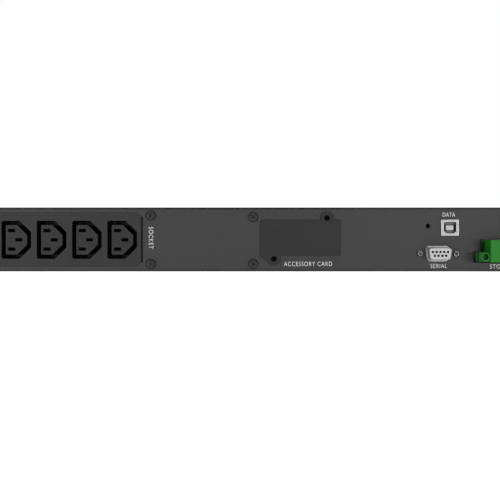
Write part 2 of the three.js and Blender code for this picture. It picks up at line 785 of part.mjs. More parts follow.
// Lead from the socket down to the main board.
{
  const path = new THREE.CatmullRomCurve3(
    [
      [-52, -14.4, 22],
      [-52, -20, 22],
      [-52, -27.5, 19],
      [-52, -31, 13],
      [-52, -31, 8.4],
    ].map((p) => new THREE.Vector3(...p)),
  );
  const section = new THREE.Shape(circle(0, 0, 3, 8).map(([u, v]) => new THREE.Vector2(u * 2, v)));
  const g = new THREE.ExtrudeGeometry(section, { steps: 10, bevelEnabled: false, extrudePath: path });
  add("battery_lead", solid(g), M.red);
}
{
  const { x0, x1, y0, y1 } = BAY;
  let tray = cut(
    box(x0, x1, y0, y1, 2.0, 37.6),
    box(x0 + T, x1 - T, y0 + T, y1 - T, 3.2, 40),
    box(x0 - 1, x1 + 1, y0 + T, y1 - T, 24, 40),
  );
  // air windows in the front wall, behind the intake slots
  tray = cut(
    tray,
    [
      [-188, -144],
      [-134, -90],
      [-18, 26],
      [36, 81],
    ].map(([a, b]) => box(a, b, y1 - 3, y1 + 1, 10, 32)),
  );
  add("battery_tray", tray, M.zinc);
}
{
  const z0 = 3.5;
  const xs = [-203.9, -51.1];
  const ys = [17.2, 112.6];
  let n = 0;
  for (const y of ys)
    for (const x of xs) {
      n += 1;
      let b = prism("xy", chamfered(x, x + BATTERY.x, y, y + BATTERY.y, 1.5), z0, z0 + BATTERY.z);
      // terminal posts at the front edge, on a recessed ledge
      b = cut(b, box(x + 6, x + 24, y + BATTERY.y - 9, y + BATTERY.y + 1, z0 + 24, z0 + BATTERY.z + 1));
      b = cut(
        b,
        box(x + BATTERY.x - 24, x + BATTERY.x - 6, y + BATTERY.y - 9, y + BATTERY.y + 1, z0 + 24, z0 + BATTERY.z + 1),
      );
      b = join(
        b,
        box(x + 12, x + 18, y + BATTERY.y - 5, y + BATTERY.y - 4.2, z0 + 23.5, z0 + 31),
        box(x + BATTERY.x - 18, x + BATTERY.x - 12, y + BATTERY.y - 5, y + BATTERY.y - 4.2, z0 + 23.5, z0 + 31),
      );
      add(`battery_${n}`, b, M.battery);
    }
}
// Drawer front: moulded bezel fixed to the tray, with intake slots, a grip opening and a lower column at each end.
const slotRow = (x0, x1, z) => box(x0, x1, 240, 250, z, z + 3.4);
{
  const x0 = -HALF_W;
  const x1 = 111.9;
  let front = prism(
    "xy",
    [
      [x0, Y_FRONT + GAP],
      [x1, Y_FRONT + GAP],
      [x1, BEZEL_STEP_Y],
      [97, BEZEL_STEP_Y],
      [93, BEZEL_Y],
      [-200, BEZEL_Y],
      [-204, BEZEL_STEP_Y],
      [x0, BEZEL_STEP_Y],
    ],
    0.4,
    H - 0.4,
  );
  front = cut(front, box(-198, 91, Y_FRONT - 1, BEZEL_Y - 2.6, 3, H - 3));
  const tools = [];
  for (const z of [8, 15, 22, 29, 36])
    for (const [a, b] of [
      [-190, -142],
      [-136, -88],
      [-20, 28],
      [34, 83],
    ])
      tools.push(slotRow(a, b, z - 1.7));
  // grip opening, with the fingers pulling on the wall above it
  tools.push(box(-78, -30, 240, 250, 6, 24));
  for (const [x, z] of THUMB) tools.push(cylinder("y", x, z, 2.4, 228, 240, 16));
  front = cut(front, tools);
  add("drawer_front", front, M.bezel);
}
THUMB.forEach(([x, z], i) => {
  const y = BEZEL_STEP_Y + 0.3;
  const profile = [
    [0, y],
    [1.75, y],
    [1.75, y],
    [4.6, y],
    [4.6, y + 1],
    [5.4, y + 1.4],
    [5.4, y + 6.6],
    [4.8, y + 7.4],
    [0, y + 7.4],
  ].map(([r, d], k) => [r, k < 2 ? 225.7 : d]);
  let s = turned(profile, "y", [x, 0, z], 18);
  s = cut(s, box(x - 4, x + 4, y + 6.2, y + 9, z - 0.6, z + 0.6));
  add(`drawer_thumbscrew_${i ? "right" : "left"}`, s, M.steel);
});

// ---------- control column ----------
{
  const x0 = 112.5;
  const x1 = HALF_W;
  let bezel = prism(
    "xy",
    [
      [x0, Y_FRONT + GAP],
      [x1, Y_FRONT + GAP],
      [x1, BEZEL_STEP_Y],
      [204, BEZEL_STEP_Y],
      [200, BEZEL_Y],
      [x0 + 3, BEZEL_Y],
      [x0, BEZEL_STEP_Y],
    ],
    0.4,
    H - 0.4,
  );
  bezel = cut(
    bezel,
    box(x0 + 4, 198, Y_FRONT - 1, BEZEL_Y - 2.6, 3, H - 3),
    box(LCD.x0 - 0.8, LCD.x1 + 0.8, 240, 250, LCD.z0 - 0.8, LCD.z1 + 0.8),
    Object.values(BUTTONS).map(([x, z, r]) => cylinder("y", x, z, r + 0.3, 240, 250, 20)),
  );
  add("control_bezel", bezel, M.bezel);
  add("lcd_lens", prism("xz", rounded(LCD.x0 - 0.4, LCD.x1 + 0.4, LCD.z0 - 0.4, LCD.z1 + 0.4, 1), BEZEL_Y - 2.2, BEZEL_Y - 0.2), M.lens);
  let board = join(
    box(117, 197, 234.5, 236.1, 4, 40),
    box(LCD.x0, LCD.x1, 236, 243.8, LCD.z0, LCD.z1),
    ...Object.values(BUTTONS).map(([x, z]) => box(x - 3, x + 3, 236, 239.6, z - 3, z + 3)),
  );
  add("display_board", board, M.pcb);
}
for (const [name, [x, z, r]] of Object.entries(BUTTONS))
  add(
    name,
    turned(
      [
        [0, 241.2],
        [r + 0.9, 241.2],
        [r + 0.9, 242.4],
        [r, 242.4],
        [r, BEZEL_Y + 0.7],
        [r - 0.5, BEZEL_Y + 1.2],
        [0, BEZEL_Y + 1.3],
      ],
      "y",
      [x, 0, z],
      20,
    ),
    M.grey,
  );

// ---------- rack ears ----------
for (const [side, s] of [
  ["left", -1],
  ["right", 1],
]) {
  const a = HALF_W + 0.3;
  const slots = [-1, 1].map((k) => {
    const z = 22 + k * EAR_HOLE_DZ;
    return rounded(EAR_HOLE_X - 5, EAR_HOLE_X + 5, z - 3.4, z + 3.4, 3.3, 3).map(([u, v]) => [s * u, v]);
  });
  const outline = rounded(a, EAR_HALF_W, 0.4, H - 0.4, 1.5, 2).map(([u, v]) => [s * u, v]);
  let ear = prism("xz", outline, 226, 228, slots);
  const x0 = s > 0 ? a : -a - 2;
  ear = join(ear, box(x0, x0 + 2, 150, 227, 4, 40));
  ear = cut(
    ear,
    [166, 202].map((y) => cylinder("x", y, 22, 2.3, x0 - 1, x0 + 3, 16)),
  );
  add(`rack_ear_${side}`, ear, M.chassis);
  [166, 202].forEach((y, i) =>
    add(
      `ear_screw_${side}_${i + 1}`,
      panScrew(s > 0 ? "x" : "-x", [s * (a + 2.05), y, 22], 3.6, 2.0, 1.9, 7),
      M.cover,
    ),
  );
}

export default group;
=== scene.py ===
import math
import random

import bmesh
import bpy
from mathutils import Matrix, Vector
from mathutils.geometry import tessellate_polygon


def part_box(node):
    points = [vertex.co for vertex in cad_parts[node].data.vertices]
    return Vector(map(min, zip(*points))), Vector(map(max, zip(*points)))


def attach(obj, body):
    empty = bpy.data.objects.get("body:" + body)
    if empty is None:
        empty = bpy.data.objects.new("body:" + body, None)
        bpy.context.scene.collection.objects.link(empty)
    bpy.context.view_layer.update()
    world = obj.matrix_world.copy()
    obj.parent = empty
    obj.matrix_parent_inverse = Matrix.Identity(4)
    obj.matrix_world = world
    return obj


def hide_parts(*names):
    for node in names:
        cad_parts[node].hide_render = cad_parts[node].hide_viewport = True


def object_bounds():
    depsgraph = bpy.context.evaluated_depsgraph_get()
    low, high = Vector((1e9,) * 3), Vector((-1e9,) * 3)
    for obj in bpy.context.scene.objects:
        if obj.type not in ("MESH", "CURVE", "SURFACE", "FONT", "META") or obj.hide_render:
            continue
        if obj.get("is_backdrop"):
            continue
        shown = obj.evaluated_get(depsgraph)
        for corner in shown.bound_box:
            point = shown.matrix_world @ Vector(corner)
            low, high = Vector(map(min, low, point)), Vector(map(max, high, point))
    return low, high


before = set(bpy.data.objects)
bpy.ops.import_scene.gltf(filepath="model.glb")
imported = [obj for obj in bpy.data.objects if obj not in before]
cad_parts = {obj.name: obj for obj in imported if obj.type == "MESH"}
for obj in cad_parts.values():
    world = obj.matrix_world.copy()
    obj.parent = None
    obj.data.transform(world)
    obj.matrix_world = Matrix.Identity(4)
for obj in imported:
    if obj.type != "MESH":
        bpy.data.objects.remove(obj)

scene = bpy.context.scene
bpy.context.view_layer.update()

# Everything below is written in millimetres in the frame of the CAD, and make() turns it into metres.
MM = 0.001


def nb(node):
    """A CAD node's box in millimetres: x0, x1, y0, y1, z0, z1."""
    lo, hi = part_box(node)
    return (lo[0] / MM, hi[0] / MM, lo[1] / MM, hi[1] / MM, lo[2] / MM, hi[2] / MM)


COVER = nb("top_cover")
Y_REAR, Y_FRONT = COVER[2], COVER[3]
HALF_W, H = COVER[1], COVER[5]
T = 1.2

# ------------------------------------------------------------------ camera, floor and light
cam = bpy.data.cameras.new("camera")
cam_ob = bpy.data.objects.new("camera", cam)
scene.collection.objects.link(cam_ob)
scene.camera = cam_ob
cam.sensor_width = 36.0
cam.lens = 36.0 * 430.0 / 344.65
cam.clip_start, cam.clip_end = 0.02, 60.0
cam_ob.location = (0.0, (Y_REAR - 430.0) * MM, 21.6 * MM)
cam_ob.rotation_euler = (math.radians(90), 0, 0)

world = bpy.data.worlds.new("studio")
scene.world = world
world.use_nodes = True
bg = world.node_tree.nodes["Background"]
bg.inputs["Color"].default_value = (1.0, 1.0, 1.0, 1)
bg.inputs["Strength"].default_value = 0.27
# the studio's white backdrop is brighter seen directly than it is as a light
seen = world.node_tree.nodes.new("ShaderNodeBackground")
seen.inputs["Color"].default_value = (1.0, 1.0, 1.0, 1)
seen.inputs["Strength"].default_value = 1.0
path = world.node_tree.nodes.new("ShaderNodeLightPath")
mixer = world.node_tree.nodes.new("ShaderNodeMixShader")
world.node_tree.links.new(path.outputs["Is Camera Ray"], mixer.inputs[0])
world.node_tree.links.new(bg.outputs[0], mixer.inputs[1])
world.node_tree.links.new(seen.outputs[0], mixer.inputs[2])
world.node_tree.links.new(mixer.outputs[0], world.node_tree.nodes["World Output"].inputs["Surface"])
scene.view_settings.view_transform = "Standard"
scene.view_settings.look = "None"
scene.view_settings.exposure = 0.0
scene.view_settings.gamma = 1.0


def area(name, at, look, size, power):
    light = bpy.data.lights.new(name, "AREA")
    light.shape = "RECTANGLE"
    light.size, light.size_y = size
    light.energy = power
    ob = bpy.data.objects.new(name, light)
    scene.collection.objects.link(ob)
    ob.location = at
    ob.rotation_euler = (Vector(look) - Vector(at)).to_track_quat("-Z", "Y").to_euler()
    return ob


# two side softboxes at the panel's own height, an overhead one, and two for the front
area("left_box", (-0.43, -0.75, 0.034), (-0.125, -0.23, 0.022), (0.27, 0.055), 1.75)
area("right_box", (0.43, -0.75, 0.034), (0.125, -0.23, 0.022), (0.27, 0.055), 1.75)
area("overhead", (0.0, 0.1, 1.9), (0, 0.1, 0), (2.4, 2.2), 26)
area("front_left", (1.3, 1.5, 0.8), (0, 0.2, 0.02), (0.9, 0.6), 14)
area("front_right", (-1.1, 1.6, 0.6), (0, 0.2, 0.02), (0.7, 0.5), 8)


# ------------------------------------------------------------------ materials
def mat(name, color, rough=0.5, metal=0.0, vary=(400.0, 0.06), rvary=0.06, bump=None, coat=0.0,
        coarse=None, specular=0.5, brushed=None, sheen=0.0, edge=False):
    """A node material. vary: (noise scale per metre, colour amplitude). bump: (scale, strength, distance in mm)."""
    m = bpy.data.materials.new(name)
    m.use_nodes = True
    nt = m.node_tree
    n, l = nt.nodes, nt.links
    p = n["Principled BSDF"]
    p.inputs["Metallic"].default_value = metal
    p.inputs["Specular IOR Level"].default_value = specular
    if coat:
        p.inputs["Coat Weight"].default_value = coat
        p.inputs["Coat Roughness"].default_value = 0.15
    if sheen:
        p.inputs["Sheen Weight"].default_value = sheen
    tc = n.new("ShaderNodeTexCoord")
    src = tc.outputs["Object"]
    if brushed:
        mp = n.new("ShaderNodeMapping")
        mp.inputs["Scale"].default_value = brushed
        l.new(src, mp.inputs["Vector"])
        src = mp.outputs["Vector"]
    noise = n.new("ShaderNodeTexNoise")
    noise.inputs["Scale"].default_value = vary[0]
    noise.inputs["Detail"].default_value = 5.0
    noise.inputs["Roughness"].default_value = 0.6
    l.new(src, noise.inputs["Vector"])
    ramp = n.new("ShaderNodeValToRGB")
    a = vary[1]
    c = ramp.color_ramp
    c.elements[0].position, c.elements[1].position = 0.25, 0.75
    c.elements[0].color = tuple(min(1.0, v * (1 - a)) for v in color) + (1,)
    c.elements[1].color = tuple(min(1.0, v * (1 + a)) for v in color) + (1,)
    l.new(noise.outputs["Fac"], ramp.inputs["Fac"])
    colour = ramp.outputs["Color"]
    if coarse:
        # broad, faint handling marks and dust: (scale, amount, colour)
        big = n.new("ShaderNodeTexNoise")
        big.inputs["Scale"].default_value = coarse[0]
        big.inputs["Detail"].default_value = 6.0
        big.inputs["Roughness"].default_value = 0.7
        l.new(tc.outputs["Object"], big.inputs["Vector"])
        mr = n.new("ShaderNodeMapRange")
        mr.inputs["From Min"].default_value = 0.45
        mr.inputs["From Max"].default_value = 0.8
        mr.inputs["To Max"].default_value = coarse[1]
        l.new(big.outputs["Fac"], mr.inputs["Value"])
        mx = n.new("ShaderNodeMix")
        mx.data_type = "RGBA"
        mx.inputs[7].default_value = tuple(coarse[2]) + (1,)
        l.new(mr.outputs["Result"], mx.inputs[0])
        l.new(colour, mx.inputs[6])
        colour = mx.outputs[2]
    if edge:
        # painted shade: a near-black band under 1 mm deep along the sheet's rear edge, at the top and the bottom,
        # standing in for the shadow in the seam between the cover and the panel
        sep = n.new("ShaderNodeSeparateXYZ")
        l.new(tc.outputs["Object"], sep.inputs["Vector"])
        seam_shade_near = n.new("ShaderNodeMapRange")
        seam_shade_near.inputs["From Min"].default_value = (Y_REAR + 0.15) * MM
        seam_shade_near.inputs["From Max"].default_value = (Y_REAR + 0.6) * MM
        seam_shade_near.inputs["To Min"].default_value, seam_shade_near.inputs["To Max"].default_value = 1.0, 0.0
        l.new(sep.outputs["Y"], seam_shade_near.inputs["Value"])
        low = n.new("ShaderNodeMapRange")
        low.inputs["From Min"].default_value, low.inputs["From Max"].default_value = 0.0006, 0.0010
        low.inputs["To Min"].default_value, low.inputs["To Max"].default_value = 1.0, 0.0
        l.new(sep.outputs["Z"], low.inputs["Value"])
        high = n.new("ShaderNodeMapRange")
        high.inputs["From Min"].default_value, high.inputs["From Max"].default_value = 0.0424, 0.0428
        l.new(sep.outputs["Z"], high.inputs["Value"])
        seam_shade_band = n.new("ShaderNodeMath")
        seam_shade_band.operation = "MAXIMUM"
        l.new(low.outputs["Result"], seam_shade_band.inputs[0])
        l.new(high.outputs["Result"], seam_shade_band.inputs[1])
        seam_shade_mask = n.new("ShaderNodeMath")
        seam_shade_mask.operation = "MULTIPLY"
        l.new(seam_shade_band.outputs[0], seam_shade_mask.inputs[0])
        l.new(seam_shade_near.outputs["Result"], seam_shade_mask.inputs[1])
        seam_shade_mix = n.new("ShaderNodeMix")
        seam_shade_mix.data_type = "RGBA"
        # colour of the painted seam shade
        seam_shade_mix.inputs[7].default_value = (0.0032, 0.0032, 0.0033, 1)
        l.new(seam_shade_mask.outputs[0], seam_shade_mix.inputs[0])
        l.new(colour, seam_shade_mix.inputs[6])
        colour = seam_shade_mix.outputs[2]
    l.new(colour, p.inputs["Base Color"])
    rr = n.new("ShaderNodeMapRange")
    rr.inputs["From Min"].default_value = 0.3
    rr.inputs["From Max"].default_value = 0.7
    rr.inputs["To Min"].default_value = max(0.02, rough - rvary)
    rr.inputs["To Max"].default_value = min(1.0, rough + rvary)
    l.new(noise.outputs["Fac"], rr.inputs["Value"])
    l.new(rr.outputs["Result"], p.inputs["Roughness"])
    if bump:
        bn = n.new("ShaderNodeTexNoise")
        bn.inputs["Scale"].default_value = bump[0]
        bn.inputs["Detail"].default_value = 3.0
        l.new(src, bn.inputs["Vector"])
        b = n.new("ShaderNodeBump")
        b.inputs["Strength"].default_value = bump[1]
        b.inputs["Distance"].default_value = bump[2] * MM
        l.new(bn.outputs["Fac"], b.inputs["Height"])
        l.new(b.outputs["Normal"], p.inputs["Normal"])
    return m


DUST = (0.12, 0.12, 0.115)
M = {
    "chassis": mat("powder_coat", (0.0318, 0.0318, 0.032), 0.66, vary=(1500, 0.10), bump=(1900, 0.35, 0.05), coarse=(22, 0.02, DUST), specular=0.22),
    # the shell paint carries the painted seam shade along its rear edge
    "shell": mat("shell_paint_with_seam_shade", (0.031, 0.031, 0.0312), 0.58, vary=(1500, 0.10), bump=(1900, 0.35, 0.05), coarse=(22, 0.03, DUST), specular=0.25, edge=True),
    "inside": mat("inner_paint", (0.02, 0.02, 0.02), 0.7, vary=(900, 0.1), bump=(1500, 0.3, 0.04), specular=0.2),
    "bank": mat("outlet_moulding", (0.0196, 0.0196, 0.0198), 0.66, vary=(1200, 0.08), bump=(2600, 0.25, 0.03), coarse=(30, 0.02, DUST), specular=0.22),
    "core": mat("outlet_core_moulding", (0.0168, 0.0168, 0.017), 0.66, vary=(1200, 0.08), bump=(2600, 0.25, 0.03), specular=0.22),
    # painted shade: a near-black copy of the outlet moulding for the insides of the wells and the cores' sides, where
    # deep shade falls
    "well_painted_shade": mat("painted_shade_well_wall", (0.003, 0.003, 0.003), 0.85, vary=(800, 0.1), bump=(2200, 0.2, 0.03), specular=0.03),
    "cover": mat("slot_cover_paint", (0.0118, 0.0118, 0.012), 0.6, vary=(1300, 0.08), bump=(1700, 0.25, 0.03), coarse=(40, 0.03, DUST), specular=0.25),
    "screw": mat("dark_zinc", (0.024, 0.024, 0.0245), 0.5, metal=0.3, vary=(1800, 0.12), bump=(2500, 0.2, 0.02), specular=0.3),
    "screw_black": mat("black_oxide", (0.0007, 0.0007, 0.0007), 0.65, metal=0.0, vary=(1800, 0.2), bump=(2500, 0.2, 0.02), specular=0.025),
    "zinc": mat("zinc_plate", (0.36, 0.365, 0.37), 0.42, metal=1.0, vary=(60, 0.14), rvary=0.1, bump=(900, 0.08, 0.02), coarse=(160, 0.45, (0.27, 0.28, 0.295))),
    "nickel": mat("nickel_plate", (0.32, 0.32, 0.317), 0.58, metal=0.9, vary=(700, 0.06), rvary=0.08, bump=(1500, 0.08, 0.01)),
    "nickel_dark": mat("nickel_threads", (0.2, 0.2, 0.2), 0.5, metal=1.0, vary=(700, 0.08), bump=(1500, 0.08, 0.01)),
    "port_inner": mat("port_inner_moulding", (0.07, 0.07, 0.07), 0.5, vary=(900, 0.06), bump=(2500, 0.15, 0.02), specular=0.3),
    "insert": mat("connector_insert", (0.362, 0.362, 0.358), 0.55, vary=(900, 0.04), bump=(2500, 0.15, 0.02)),
    "tongue": mat("port_tongue", (0.33, 0.33, 0.325), 0.5, vary=(900, 0.04), bump=(2500, 0.1, 0.02)),
    "gold": mat("gold_contact", (0.83, 0.58, 0.22), 0.28, metal=1.0, vary=(900, 0.05), bump=(1500, 0.05, 0.01)),
    "green": mat("green_nylon", (0.0072, 0.126, 0.0088), 0.5, vary=(600, 0.08), bump=(1800, 0.15, 0.03), specular=0.12),
    "black": mat("black_moulding", (0.013, 0.013, 0.0135), 0.45, vary=(900, 0.12), bump=(2200, 0.2, 0.03)),
    # painted shade: the header, green like the plug in reality, is a neutral dark grey standing in for the shadow in
    # the panel's cut-out
    "header": mat("header_painted_shade_grey", (0.08, 0.112, 0.08), 0.6, vary=(600, 0.1), bump=(1800, 0.15, 0.03), specular=0.15),
    "standoff": mat("spacer_brass", (0.42, 0.33, 0.16), 0.36, metal=0.9, vary=(1400, 0.1), rvary=0.1, bump=(2200, 0.2, 0.015)),
    "foam": mat("gasket_foam", (0.013, 0.013, 0.0135), 0.95, vary=(2600, 0.35), bump=(2600, 0.6, 0.12), specular=0.1),
    # painted highlight: a lighter copy of the green nylon for the ring round each ear's hole, where the chamfer catches
    # light
    "green_painted_highlight": mat("green_nylon_painted_highlight", (0.022, 0.15, 0.022), 0.45, vary=(600, 0.08), bump=(1800, 0.15, 0.02), specular=0.2),
    # painted shade: a darker copy of the green nylon, for the ears that sit in the plug body's shadow and for their
    # screws
    "green_painted_shade": mat("green_nylon_painted_shade", (0.0038, 0.058, 0.0046), 0.55, vary=(600, 0.08), bump=(1800, 0.15, 0.03), specular=0.1),
    # painted shade: a near-black material filling slots, sockets and the backs of ports where shade falls
    "painted_shade_hole": mat("painted_shade_dark_hole", (0.003, 0.003, 0.003), 0.9, vary=(900, 0.2), bump=(1500, 0.1, 0.01), specular=0.04),
    # partly real, partly painted shadow: a washer under each panel screw, near black so that its rim past the head
    # gives the dark ring of the contact shadow
    "washer_shadow_ring": mat("screw_washer_painted_shadow", (0.009, 0.009, 0.009), 0.6, vary=(1800, 0.15), bump=(2500, 0.2, 0.02), specular=0.1),
    # painted light and shade: a dark grey solid that fills the jack screws' bores, standing in for the look of the
    # inside of the threads
    "bore_shade": mat("jack_bore_painted_shade", (0.05, 0.05, 0.05), 0.6, metal=0.5, vary=(900, 0.15), bump=(1800, 0.3, 0.03), specular=0.2),
    "brass": mat("contact_brass", (0.11, 0.075, 0.03), 0.45, metal=0.6, vary=(900, 0.15), bump=(1500, 0.1, 0.01), specular=0.3),
    "red": mat("red_moulding", (0.32, 0.018, 0.016), 0.4, vary=(700, 0.08), bump=(2200, 0.15, 0.02)),
    "bezel": mat("bezel_moulding", (0.0165, 0.0165, 0.0175), 0.5, vary=(1400, 0.1), bump=(1500, 0.45, 0.05), coarse=(26, 0.05, DUST)),
    "mesh_black": mat("filter_foam", (0.006, 0.006, 0.006), 0.95, vary=(900, 0.6), bump=(900, 1.0, 0.4)),
    "button": mat("button_rubber", (0.19, 0.19, 0.2), 0.55, vary=(900, 0.06), bump=(2200, 0.2, 0.02)),
    "print": mat("white_print", (0.62, 0.62, 0.61), 0.6, vary=(1800, 0.06), bump=(2600, 0.1, 0.01)),
    "print_grey": mat("grey_print", (0.4, 0.4, 0.4), 0.6, vary=(1800, 0.06), bump=(2600, 0.1, 0.01)),
    "steel": mat("thumbscrew_steel", (0.3, 0.3, 0.298), 0.36, metal=1.0, vary=(900, 0.08), rvary=0.1, bump=(1500, 0.15, 0.02)),
    "aluminium": mat("extruded_aluminium", (0.7, 0.71, 0.72), 0.36, metal=1.0, vary=(8, 0.08), brushed=(140, 6, 140), rvary=0.08, bump=(10, 0.2, 0.03)),
    "pcb": mat("solder_mask", (0.012, 0.085, 0.035), 0.35, vary=(240, 0.35), rvary=0.1, bump=(500, 0.2, 0.05), coat=0.3),
    "ferrite": mat("ferrite", (0.03, 0.03, 0.033), 0.65, vary=(1500, 0.2), bump=(1800, 0.4, 0.05)),
    "winding": mat("enamelled_wire", (0.5, 0.17, 0.05), 0.3, metal=0.7, vary=(8, 0.35), brushed=(6, 120, 6), bump=(9, 0.8, 0.3)),
    "sleeve": mat("capacitor_sleeve", (0.01, 0.018, 0.06), 0.28, vary=(300, 0.1), bump=(600, 0.1, 0.03), coat=0.3),
    "battery": mat("battery_case", (0.03, 0.031, 0.034), 0.5, vary=(700, 0.1), bump=(1500, 0.3, 0.04), coarse=(30, 0.06, DUST)),
    "grey": mat("grey_housing", (0.24, 0.24, 0.25), 0.5, vary=(900, 0.07), bump=(2000, 0.2, 0.03)),
    "lead": mat("lead_insulation", (0.33, 0.018, 0.016), 0.42, vary=(700, 0.08), bump=(1500, 0.15, 0.02)),
    "lcd_mark": mat("display_segment", (0.7, 0.74, 0.78), 0.4, vary=(900, 0.04), bump=(1500, 0.05, 0.01)),
    "cell_label": mat("battery_label", (0.085, 0.088, 0.094), 0.42, vary=(900, 0.06), bump=(1400, 0.1, 0.02), coarse=(60, 0.05, DUST), specular=0.3),
    "cell_band": mat("battery_label_band", (0.02, 0.075, 0.14), 0.42, vary=(900, 0.07), bump=(1400, 0.1, 0.02), specular=0.3),
    "lead_black": mat("black_insulation", (0.012, 0.012, 0.012), 0.42, vary=(700, 0.1), bump=(1500, 0.15, 0.02)),
    "bobbin": mat("bobbin_nylon", (0.42, 0.38, 0.28), 0.5, vary=(700, 0.06), bump=(1800, 0.15, 0.02)),
    "tape": mat("polyester_tape", (0.5, 0.33, 0.03), 0.35, vary=(600, 0.08), bump=(900, 0.2, 0.03), coat=0.2),
    "film": mat("film_capacitor", (0.35, 0.22, 0.04), 0.4, vary=(700, 0.07), bump=(1500, 0.2, 0.02)),
    "relay": mat("relay_case", (0.035, 0.05, 0.1), 0.35, vary=(700, 0.07), bump=(1800, 0.15, 0.02)),
    "chip": mat("chip_epoxy", (0.018, 0.018, 0.019), 0.55, vary=(1500, 0.12), bump=(2600, 0.25, 0.02), specular=0.3),
    "tin": mat("tinned_lead", (0.45, 0.45, 0.44), 0.35, metal=1.0, vary=(1500, 0.1), bump=(2200, 0.15, 0.02)),
    "lcd": mat("display_layer", (0.01, 0.04, 0.1), 0.35, vary=(40, 0.15), bump=(2500, 0.05, 0.01)),
    "led": mat("indicator_lens", (0.05, 0.35, 0.09), 0.2, vary=(900, 0.1), bump=(1500, 0.05, 0.01), coat=0.6),
}
for key, strength, tint in (("lcd", 0.42, (0.03, 0.17, 0.55)), ("lcd_mark", 0.75, (0.8, 0.9, 1.0)), ("led", 0.5, (0.1, 0.9, 0.2))):
    if tint:
        p = M[key].node_tree.nodes["Principled BSDF"]
        p.inputs["Emission Color"].default_value = tint + (1,)
        p.inputs["Emission Strength"].default_value = strength
# the window: clear, faintly smoked, with a fine hard coat
glass = mat("display_window", (0.8, 0.84, 0.88), 0.025, vary=(300, 0.03), rvary=0.015, bump=(120, 0.006, 0.01), coat=0.3)
gp = glass.node_tree.nodes["Principled BSDF"]
gp.inputs["Transmission Weight"].default_value = 0.97
gp.inputs["IOR"].default_value = 1.49
M["window"] = glass


# ------------------------------------------------------------------ shapes: (vertices, faces) in millimetres
def area2(loop):
    return sum(a[0] * b[1] - b[0] * a[1] for a, b in zip(loop, loop[1:] + loop[:1]))


def ccw(loop):
    return list(loop) if area2(list(loop)) > 0 else list(reversed(loop))


def cw(loop):
    return list(reversed(ccw(loop)))


def circle(u, v, r, n=48, turn=0.0):
    return [(u + r * math.cos(turn + 2 * math.pi * i / n), v + r * math.sin(turn + 2 * math.pi * i / n)) for i in range(n)]


def rounded(points, radius, n=6):
    """A polygon with its corners rounded. radius is one number, or one for each corner."""
    pts = [Vector((p[0], p[1])) for p in points]
    radii = radius if isinstance(radius, (list, tuple)) else [radius] * len(pts)
    out = []
    for i, p in enumerate(pts):
        r = radii[i]
        d1 = (pts[i - 1] - p).normalized()
        d2 = (pts[(i + 1) % len(pts)] - p).normalized()
        cos = max(-1.0, min(1.0, d1.dot(d2)))
        half = math.acos(cos) / 2
        if r <= 0 or half > math.pi / 2 - 0.02:
            out.append((p.x, p.y))
            continue
        t = r / math.tan(half)
        c = p + (d1 + d2).normalized() * (r / math.sin(half))
        s, e = p + d1 * t - c, p + d2 * t - c
        a0, a1 = math.atan2(s.y, s.x), math.atan2(e.y, e.x)
        da = (a1 - a0 + math.pi) % (2 * math.pi) - math.pi
        for k in range(n + 1):
            a = a0 + da * k / n
            out.append((c.x + r * math.cos(a), c.y + r * math.sin(a)))
    return out


def rect(u0, u1, v0, v1, r=0.0, n=5):
    pts = [(u0, v0), (u1, v0), (u1, v1), (u0, v1)]
    return rounded(pts, r, n) if r else pts


def inset(loop, d):
    """Moves a loop towards its left side by d, with mitred corners."""
    if d == 0:
        return list(loop)
    n = len(loop)
    out = []
    for i in range(n):
        a, b, c = loop[i - 1], loop[i], loop[(i + 1) % n]
        e1 = Vector((b[0] - a[0], b[1] - a[1])).normalized()
        e2 = Vector((c[0] - b[0], c[1] - b[1])).normalized()
        n1, n2 = Vector((-e1.y, e1.x)), Vector((-e2.y, e2.x))
        k = 1 + n1.dot(n2)
        m = (n1 + n2) / max(k, 0.35)
        out.append((b[0] + m.x * d, b[1] + m.y * d))
    return out


PLANES = {"xz": lambda u, v, w: (u, w, v), "xy": lambda u, v, w: (u, v, w), "yz": lambda u, v, w: (w, u, v)}


def plate(outer, w0, w1, plane="xz", holes=(), b0=0.0, b1=0.0, seg=3):
    """A prism of an outline with holes, from w0 to w1, with rounded edges of radius b0 at w0 and b1 at w1."""
    loops = [ccw(outer)] + [cw(h) for h in holes]
    rings = []
    if b0:
        for i in range(seg + 1):
            a = math.pi / 2 * (1 - i / seg)
            rings.append((w0 + b0 * (1 - math.sin(a)), b0 * (1 - math.cos(a))))
    else:
        rings.append((w0, 0.0))
    if b1:
        for i in range(seg + 1):
            a = math.pi / 2 * i / seg
            rings.append((w1 - b1 * (1 - math.sin(a)), b1 * (1 - math.cos(a))))
    else:
        rings.append((w1, 0.0))
    to3 = PLANES[plane]
    verts, faces = [], []
    count = sum(len(lp) for lp in loops)
    cap = {}
    for k, (w, d) in enumerate(rings):
        flat = [inset(lp, d) for lp in loops]
        if k in (0, len(rings) - 1):
            cap[k] = flat
        for lp in flat:
            verts += [to3(u, v, w) for u, v in lp]
    for k in range(len(rings) - 1):
        start = 0
        for lp in loops:
            n = len(lp)
            for i in range(n):
                j = (i + 1) % n
                a, b = k * count + start + i, k * count + start + j
                faces.append([a, b, b + count, a + count])
            start += n
    for k, flat in cap.items():
        tris = tessellate_polygon([[Vector((u, v, 0)) for u, v in lp] for lp in flat])
        faces += [[k * count + i for i in t] for t in tris]
    return verts, faces


